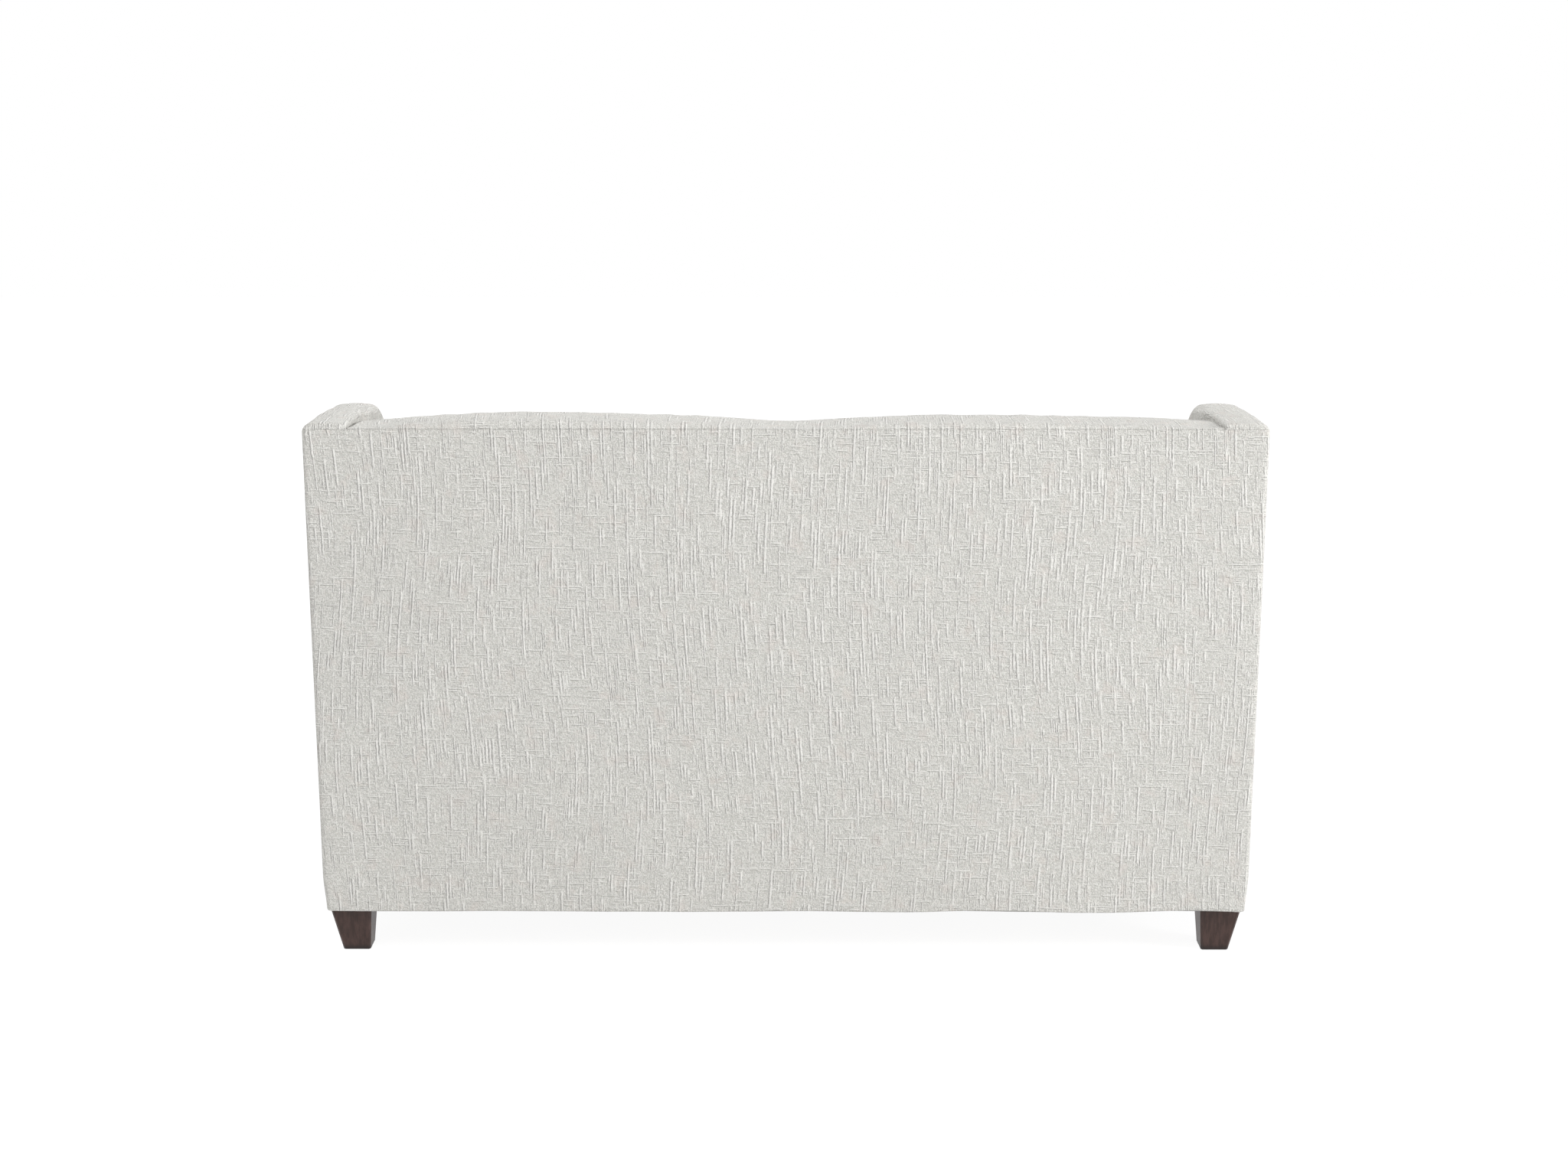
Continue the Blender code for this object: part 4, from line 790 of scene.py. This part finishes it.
def points(mesh):
    """The places of a mesh's points."""
    places = np.zeros(len(mesh.vertices) * 3)
    mesh.vertices.foreach_get("co", places)
    return places.reshape(-1, 3)


def set_points(mesh, places):
    mesh.vertices.foreach_set("co", places.astype(np.float32).ravel())
    mesh.update()


def apply_modifiers(piece):
    """Replaces a piece's mesh by what its modifiers make of it."""
    ready = piece.evaluated_get(bpy.context.evaluated_depsgraph_get())
    mesh = bpy.data.meshes.new_from_object(ready)
    piece.modifiers.clear()
    old = piece.data
    piece.data = mesh
    bpy.data.meshes.remove(old)


def dense_copy(node, name, voxel, shrink):
    """A remeshed copy of a CAD cushion, drawn in a little on every side."""
    piece = copy_of_node(node, name)
    low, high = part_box(node)
    middle = np.array((low + high) / 2)
    half = np.array((high - low) / 2)
    places = points(piece.data)
    places = middle + (places - middle) * (half - shrink) / half
    set_points(piece.data, places)
    remesh = piece.modifiers.new("remesh", "REMESH")
    remesh.mode = "VOXEL"
    remesh.voxel_size = voxel
    even = piece.modifiers.new("even", "SMOOTH")
    even.factor = 0.5
    even.iterations = 6
    apply_modifiers(piece)
    return piece


def inflate(pieces, cap):
    """Blows the pieces up as tight cloth, and keeps each point within its piece's cap of where it was."""
    starts = {piece: points(piece.data) for piece in pieces}
    for piece in pieces:
        cloth = piece.modifiers.new("cloth", "CLOTH")
        cloth.settings.use_pressure = True
        cloth.settings.uniform_pressure_force = CLOTH_PRESSURE
        cloth.settings.effector_weights.gravity = 0
        cloth.settings.quality = CLOTH_QUALITY
        cloth.settings.tension_stiffness = CLOTH_STRETCH_STIFFNESS
        cloth.settings.compression_stiffness = CLOTH_STRETCH_STIFFNESS
        cloth.settings.bending_stiffness = CLOTH_BEND_STIFFNESS
        cloth.collision_settings.use_collision = False
        cloth.point_cache.frame_end = CLOTH_FRAMES
    for step in range(1, CLOTH_FRAMES + 1):
        bpy.context.scene.frame_set(step)
    for piece in pieces:
        apply_modifiers(piece)
        places = points(piece.data)
        moved = places - starts[piece]
        length = np.linalg.norm(moved, axis=1, keepdims=True)
        moved *= np.minimum(1.0, cap[piece] / np.maximum(length, 1e-9))
        set_points(piece.data, starts[piece] + moved)
    bpy.context.scene.frame_set(1)


def finish_cushion(piece, node, body, shift):
    """Smooths a cushion, holds its points inside its room, and places it."""
    fine = piece.modifiers.new("fine", "SUBSURF")
    fine.levels = 1
    fine.render_levels = 1
    apply_modifiers(piece)
    low, high = (np.array(corner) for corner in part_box(node))
    room_low, room_high = CUSHION_ROOMS[node.split("_", 1)[1]]
    set_points(piece.data, np.clip(points(piece.data), low - room_low, high + room_high))
    soften(piece.data)
    lay_weave(piece, shift)
    return place_piece(piece, body, [node])


def mirror_of(piece, name):
    """The same piece on the other side of the middle."""
    twin = bpy.data.objects.new(name, piece.data.copy())
    bpy.context.scene.collection.objects.link(twin)
    turned = bmesh.new()
    turned.from_mesh(twin.data)
    for vertex in turned.verts:
        vertex.co.x = -vertex.co.x
    bmesh.ops.reverse_faces(turned, faces=turned.faces)
    turned.to_mesh(twin.data)
    turned.free()
    return twin


def build_cushions():
    seat = dense_copy("right_seat_cushion", "right_seat_upholstery", SEAT_VOXEL, CUSHION_SHRINK)
    back = dense_copy("right_back_cushion", "right_back_upholstery", VOXEL, CUSHION_SHRINK)
    rest = dense_copy("right_rest_pad", "right_rest_upholstery", VOXEL, REST_SHRINK)
    inflate([seat, back, rest], {seat: CUSHION_CAP, back: CUSHION_CAP, rest: REST_CAP})
    made = []
    for piece, kind, body in ((seat, "seat_cushion", "carriage"), (back, "back_cushion", "back"),
                              (rest, "rest_pad", "leg_rest")):
        twin = mirror_of(piece, piece.name.replace("right", "left"))
        made += [(piece, f"right_{kind}", f"right_{body}"), (twin, f"left_{kind}", f"left_{body}")]
    for number, (piece, node, body) in enumerate(made):
        finish_cushion(piece, node, body, 0.37 * number + 5)


# Seams, wraps and linings

def tube(name, path, radius):
    """A thin roll of cloth along a closed path."""
    path = np.concatenate([path, path[:1]])
    ahead = np.gradient(path, axis=0)
    ahead[0] = ahead[-1] = (path[1] - path[-2]) / 2
    ahead /= np.linalg.norm(ahead, axis=1, keepdims=True)
    aside = np.cross(ahead, np.where(np.abs(ahead[:, :1]) < 0.7, [[1.0, 0.0, 0.0]], [[0.0, 1.0, 0.0]]))
    aside /= np.linalg.norm(aside, axis=1, keepdims=True)
    other = np.cross(ahead, aside)
    turns = np.linspace(0, 2 * math.pi, SEAM_SIDES + 1)[:-1, None]
    rings = [place + radius * (np.cos(turns) * a + np.sin(turns) * b)
             for place, a, b in zip(path, aside, other)]
    return object_from_rings(name, np.array(rings))


def round_corners(corners, radius, step):
    """Points round a polygon with its corners eased, a step apart, and the way out at each."""
    places, ways = [], []
    count = len(corners)
    for number in range(count):
        last, here, following = (np.array(corners[(number + k) % count]) for k in (-1, 0, 1))
        into = (here - last) / np.linalg.norm(here - last)
        away = (following - here) / np.linalg.norm(following - here)
        centre = here - into * radius + away * radius
        for turn in quarter(5):
            way = -away * math.cos(turn) + into * math.sin(turn)
            places.append(centre + radius * way)
            ways.append(way)
        run = np.linalg.norm(following - here) - 2 * radius
        for share in np.linspace(0, 1, max(int(run / step), 1) + 1)[1:-1]:
            places.append(here + away * (radius + run * share))
            ways.append(ways[-1])
    return np.array(places), np.array(ways)


def edge_wrap(name, body, board, rear_lip, shift, floor_z=None):
    """Cloth drawn over a board's edges and a little way on to its faces, down to the given height."""
    low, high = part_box(board)
    places, ways = round_corners([(low.x, low.z), (high.x, low.z), (high.x, high.z), (low.x, high.z)],
                                 WRAP_CORNER, WRAP_STEP)
    out = ways / np.linalg.norm(ways, axis=1, keepdims=True)
    if floor_z is not None:
        first = int(np.argmax((places[:, 0] > (low.x + high.x) / 2) & (places[:, 1] > floor_z)))
        places, out = np.roll(places, -first, 0), np.roll(out, -first, 0)
        above = places[:, 1] > floor_z
        places, out = places[above], out[above]
    front, rear = low.y - 0.0001, high.y + WRAP_GAP
    near, far = WRAP_GAP, WRAP_GAP + WRAP_CLOTH
    ease = WRAP_CLOTH * 0.9
    section = [(near, front), (near, rear), (-rear_lip, rear), (-rear_lip, rear + WRAP_CLOTH * 0.8)]
    section += [(far - ease + ease * math.sin(a), rear + WRAP_CLOTH - ease + ease * math.cos(a))
                for a in quarter(4)]
    section += [(far, front - 0.0003), (far - 0.0003, front - 0.0006),
                (-WRAP_FRONT_LIP, front - 0.0005), (-WRAP_FRONT_LIP, front)]
    rings = [[(place[0] + way[0] * o, y, place[1] + way[1] * o) for o, y in section]
             for place, way in zip(places, out)]
    if floor_z is None:
        rings.append(rings[0])
    piece = object_from_rings(name, np.array(rings))
    lay_weave(piece, shift)
    return place_piece(piece, body)


def back_skirt(side):
    """Cloth round the foot of a back panel, between the brackets that carry it."""
    low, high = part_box(f"{side}_back_panel")
    brackets = [corner.x for face in ("inner", "outer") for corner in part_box(f"{side}_back_bracket_{face}")]
    _, first, last, _ = sorted(brackets)
    first, last = first + SKIRT_INSET, last - SKIRT_INSET
    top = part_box(f"{side}_back_cushion")[0].z - SKIRT_TOP_GAP
    near, far = WRAP_GAP, WRAP_GAP + WRAP_CLOTH
    hem = low.z + SKIRT_REAR_RISE
    section = [(low.y - far, top), (low.y - far, low.z)]
    section += [(low.y - far * math.cos(a), low.z - far * math.sin(a)) for a in quarter(4)[1:]]
    section += [(high.y + far * math.sin(a), low.z - far * math.cos(a)) for a in quarter(4)]
    section += [(high.y + far, hem), (high.y + near, hem), (high.y + near, low.z - near),
                (low.y - near, low.z - near), (low.y - near, top)]
    rings = []
    for x in np.linspace(first, last, 120):
        ease = SKIRT_EASE * math.sin(x * 90) * math.sin(x * 37)
        rings.append([(x, y - (ease if y < low.y - near * 1.5 else 0.0), z) for y, z in section])
    piece = object_from_rings(f"{side}_back_skirt", np.array(rings))
    foot = low.z + 0.0005
    flat = [(low.y - far, top), (low.y - far, foot), (low.y - near, foot), (low.y - near, top)]
    for start, end in ((low.x + SKIRT_EDGE, first + 0.001), (last - 0.001, high.x - SKIRT_EDGE)):
        rings = [[(x, y, z) for y, z in flat] for x in np.linspace(start, end, 6)]
        join_pieces(piece, object_from_rings("skirt_end", np.array(rings)))
    lay_weave(piece, 2.9)
    return place_piece(piece, f"{side}_back")


def build_wraps():
    for side in ("right", "left"):
        edge_wrap(f"{side}_rest_board_wrap", f"{side}_leg_rest", f"{side}_rest_board", BOARD_REAR_LIP, 0.9)
        edge_wrap(f"{side}_back_panel_wrap", f"{side}_back", f"{side}_back_panel", PANEL_REAR_LIP, 1.9,
                  floor_z=PANEL_WRAP_FLOOR)
        back_skirt(side)


def build_apron(side):
    """A narrow stuffed roll under the seat cushion's front edge, above the leg rest's board."""
    low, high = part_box(f"{side}_seat_cushion")
    board_low, board_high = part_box(f"{side}_rest_board")
    rear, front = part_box(f"{side}_seat_frame")[0].y - 0.0008, board_low.y + 0.001
    bottom, top = board_high.z + 0.0036, low.z - 0.0006
    middle_y, middle_z = (front + rear) / 2, (bottom + top) / 2
    half_y, half_z = (rear - front) / 2, (top - bottom) / 2
    angles = np.linspace(0, 2 * math.pi, 25)[:-1]
    round_y = np.sign(np.cos(angles)) * np.abs(np.cos(angles)) ** APRON_SQUARENESS
    round_z = np.sign(np.sin(angles)) * np.abs(np.sin(angles)) ** APRON_SQUARENESS
    ends = [(1 - math.cos(a), math.sin(a)) for a in quarter(5)[1:]]
    first, last = low.x + APRON_SHORT, high.x - APRON_SHORT
    stations = [(first + reach * APRON_END, size) for reach, size in ends]
    stations += [(x, 1.0) for x in np.linspace(first + 0.010, last - 0.010, 90)]
    stations += [(last - reach * APRON_END, size) for reach, size in ends[::-1]]
    rings = []
    for x, size in stations:
        sag = min(1 + 0.03 * math.sin(x * 71) * math.sin(x * 23), 1.0)
        y = middle_y + half_y * size * round_y
        z = middle_z + half_z * size * round_z * sag
        rings.append(np.stack([np.full_like(y, x), y, z], -1))
    piece = object_from_rings(f"{side}_seat_apron", np.array(rings))
    lay_weave(piece, 3.1)
    return place_piece(piece, f"{side}_carriage")


def build_lining():
    """A thin stuffed cloth over the inner face of the back shell."""
    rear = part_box("shell_back_frame")[0].y - 0.0006
    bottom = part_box("right_fixed_plate_outer")[1].z + 0.01
    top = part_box("crown_pad")[0].z - 0.0008
    levels = [bottom + 0.003 * (1 - math.cos(a)) for a in quarter(4)]
    levels += list(np.linspace(bottom + LINING_EDGE, top - LINING_EDGE, 90))
    levels += [top - 0.003 * (1 - math.cos(a)) for a in quarter(4)[::-1]]
    rings = []
    for z in levels:
        from_edge = max(min(z - bottom, top - z), 0.0)
        plump = LINING_DEPTH * math.sqrt(min(from_edge / LINING_EDGE, 1.0)) + LINING_LEAST
        half = ARM_INNER + WING_TAPER * float(taper_at(z)) - 0.0022
        x = np.linspace(-half, half, LINING_COLUMNS)
        edge = np.sqrt(np.clip((half - np.abs(x)) / LINING_SIDE_EDGE, 0.02, 1))
        sag = np.clip(LINING_SAG * wobble(41, 0.2, x, np.full_like(x, z)), -0.001, 0.001)
        y = rear - plump * edge + sag * edge
        rings.append(np.stack([np.concatenate([x, x[::-1]]), np.concatenate([y, np.full_like(y, rear)]),
                               np.full(2 * LINING_COLUMNS, z)], -1))
    piece = object_from_rings("shell_inner_lining", np.array(rings))
    lay_weave(piece, 2.3)
    return place_piece(piece, "shell")


def surface_loop(piece, corners, axis, level, way):
    """Where rays from outside toward a cushion's inside meet it, round its outline."""
    tree = BVHTree.FromObject(piece, bpy.context.evaluated_depsgraph_get())
    spots, _ = round_corners(corners, SEAM_CORNER, SEAM_STEP)
    centre = np.mean(corners, axis=0)
    to_corner = np.abs(np.array(corners[2]) - centre)
    flat = [k for k in range(3) if k != axis]
    found = []
    for spot in spots:
        out = np.where(np.abs(spot - centre) > to_corner - SEAM_CORNER, np.sign(spot - centre), 0.0)
        if not out.any():
            out = spot - centre
        ray, start = np.zeros(3), np.zeros(3)
        ray[flat], ray[axis] = -out / np.linalg.norm(out), -way
        start[flat], start[axis] = spot, level
        ray /= np.linalg.norm(ray)
        hit, normal, _, _ = tree.ray_cast(Vector(start - ray * SEAM_RAY), Vector(ray), 2 * SEAM_RAY)
        if hit is not None:
            found.append(np.array(hit) - np.array(normal) * SEAM_SINK)
    kernel = np.array([1, 2, 3, 2, 1]) / 9
    wrapped = np.concatenate([found[-2:], found, found[:2]])
    return np.stack([np.convolve(wrapped[:, k], kernel, mode="valid") for k in range(3)], -1)


def build_seams():
    """The rolled seams round the seat and back cushions, at both edges of their side strips."""
    for side in ("right", "left"):
        for kind, body, axis in (("seat", "carriage", 2), ("back", "back", 1)):
            cushion = bpy.data.objects[f"{side}_{kind}_upholstery"]
            low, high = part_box(f"{side}_{kind}_cushion")
            flat = [k for k in range(3) if k != axis]
            (a, b), (c, d) = ((corner[flat[0]], corner[flat[1]]) for corner in (low, high))
            corners = [(a, b), (c, b), (c, d), (a, d)]
            first = surface_loop(cushion, corners, axis, low[axis], -1)
            second = surface_loop(cushion, corners, axis, high[axis], 1)
            piece = tube(f"{side}_{kind}_seams", first, SEAM_RADIUS)
            join_pieces(piece, tube("second_seam", second, SEAM_RADIUS))
            lay_weave(piece, 0.6)
            place_piece(piece, f"{side}_{body}")


# Carried-over nodes

def dress_nodes():
    """Wood and steel for the CAD nodes that still show."""
    for name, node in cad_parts.items():
        if node.hide_render:
            continue
        if name.endswith("_leg"):
            material = ESPRESSO
        elif name.endswith(("_arm_frame", "back_frame", "_rail", "back_panel", "rest_board")):
            material = PLYWOOD
        else:
            material = STEEL
        node.data.materials.clear()
        node.data.materials.append(material)


# Stage and light

def white_for_camera(nodes, links):
    """One for camera, glossy and transmission rays, and nought for the rest."""
    path = nodes.new("ShaderNodeLightPath")
    first = nodes.new("ShaderNodeMath")
    first.operation = "MAXIMUM"
    links.new(path.outputs["Is Camera Ray"], first.inputs[0])
    links.new(path.outputs["Is Glossy Ray"], first.inputs[1])
    second = nodes.new("ShaderNodeMath")
    second.operation = "MAXIMUM"
    links.new(first.outputs[0], second.inputs[0])
    links.new(path.outputs["Is Transmission Ray"], second.inputs[1])
    return second.outputs[0]


def build_floor():
    """A plain pale floor, white where the camera sees it, which keeps the object's shadow."""
    mesh = bpy.data.meshes.new("floor")
    reach = FLOOR_REACH
    mesh.from_pydata([(-reach, -reach, 0), (reach, -reach, 0), (reach, reach, 0), (-reach, reach, 0)], [],
                     [(0, 1, 2, 3)])
    floor = bpy.data.objects.new("floor", mesh)
    bpy.context.scene.collection.objects.link(floor)
    tree = Tree("floor_white")
    tree.set(Base_Color=FLOOR_WHITE, Roughness=0.9, Specular_IOR_Level=0.1)
    glow = tree.nodes.new("ShaderNodeEmission")
    glow.inputs["Color"].default_value = (1, 1, 1, 1)
    glow.inputs["Strength"].default_value = FLOOR_GLOW
    mix = tree.nodes.new("ShaderNodeMixShader")
    seen = white_for_camera(tree.nodes, tree.links)
    tree.links.new(tree.maths("MULTIPLY", seen, FLOOR_GLOW_SHARE), mix.inputs[0])
    tree.links.new(tree.shader.outputs[0], mix.inputs[1])
    tree.links.new(glow.outputs[0], mix.inputs[2])
    tree.links.new(mix.outputs[0], tree.nodes["Material Output"].inputs["Surface"])
    mesh.materials.append(tree.material)


def build_world():
    """An even grey surround that the camera sees as white."""
    world = bpy.data.worlds.new("studio")
    bpy.context.scene.world = world
    world.use_nodes = True
    nodes, links = world.node_tree.nodes, world.node_tree.links
    nodes.clear()
    soft = nodes.new("ShaderNodeBackground")
    soft.inputs["Color"].default_value = (1, 1, 1, 1)
    soft.inputs["Strength"].default_value = WORLD_LEVEL
    white = nodes.new("ShaderNodeBackground")
    white.inputs["Color"].default_value = (1, 1, 1, 1)
    white.inputs["Strength"].default_value = 1.0
    mix = nodes.new("ShaderNodeMixShader")
    out = nodes.new("ShaderNodeOutputWorld")
    links.new(white_for_camera(nodes, links), mix.inputs[0])
    links.new(soft.outputs[0], mix.inputs[1])
    links.new(white.outputs[0], mix.inputs[2])
    links.new(mix.outputs[0], out.inputs[0])


def build_lamp(name, place, target, side, power):
    """A square area lamp turned toward its target."""
    data = bpy.data.lights.new(name, "AREA")
    data.shape = "SQUARE"
    data.size = side
    data.energy = power
    lamp = bpy.data.objects.new(name, data)
    bpy.context.scene.collection.objects.link(lamp)
    lamp.location = place
    away = np.array(target) - np.array(place)
    flat = math.hypot(away[0], away[1])
    lamp.rotation_euler = (math.pi / 2 + math.atan2(away[2], flat), 0, math.atan2(-away[0], away[1]))


def build_camera():
    data = bpy.data.cameras.new("camera")
    data.lens = CAMERA_LENS
    data.clip_end = CAMERA_FARTHEST
    camera = bpy.data.objects.new("camera", data)
    bpy.context.scene.collection.objects.link(camera)
    camera.location = CAMERA_PLACE
    camera.rotation_euler = (math.radians(90 - CAMERA_PITCH), 0, math.radians(180 + CAMERA_YAW))
    bpy.context.scene.camera = camera
    bpy.context.scene.view_settings.view_transform = "Standard"


build_camera()
build_outside_back()
build_crown()
build_arm(1)
build_arm(-1)
build_cushions()
build_wraps()
build_apron("right")
build_apron("left")
build_lining()
build_seams()
dress_nodes()
build_floor()
build_world()
for lamp_values in LAMPS:
    build_lamp(*lamp_values)
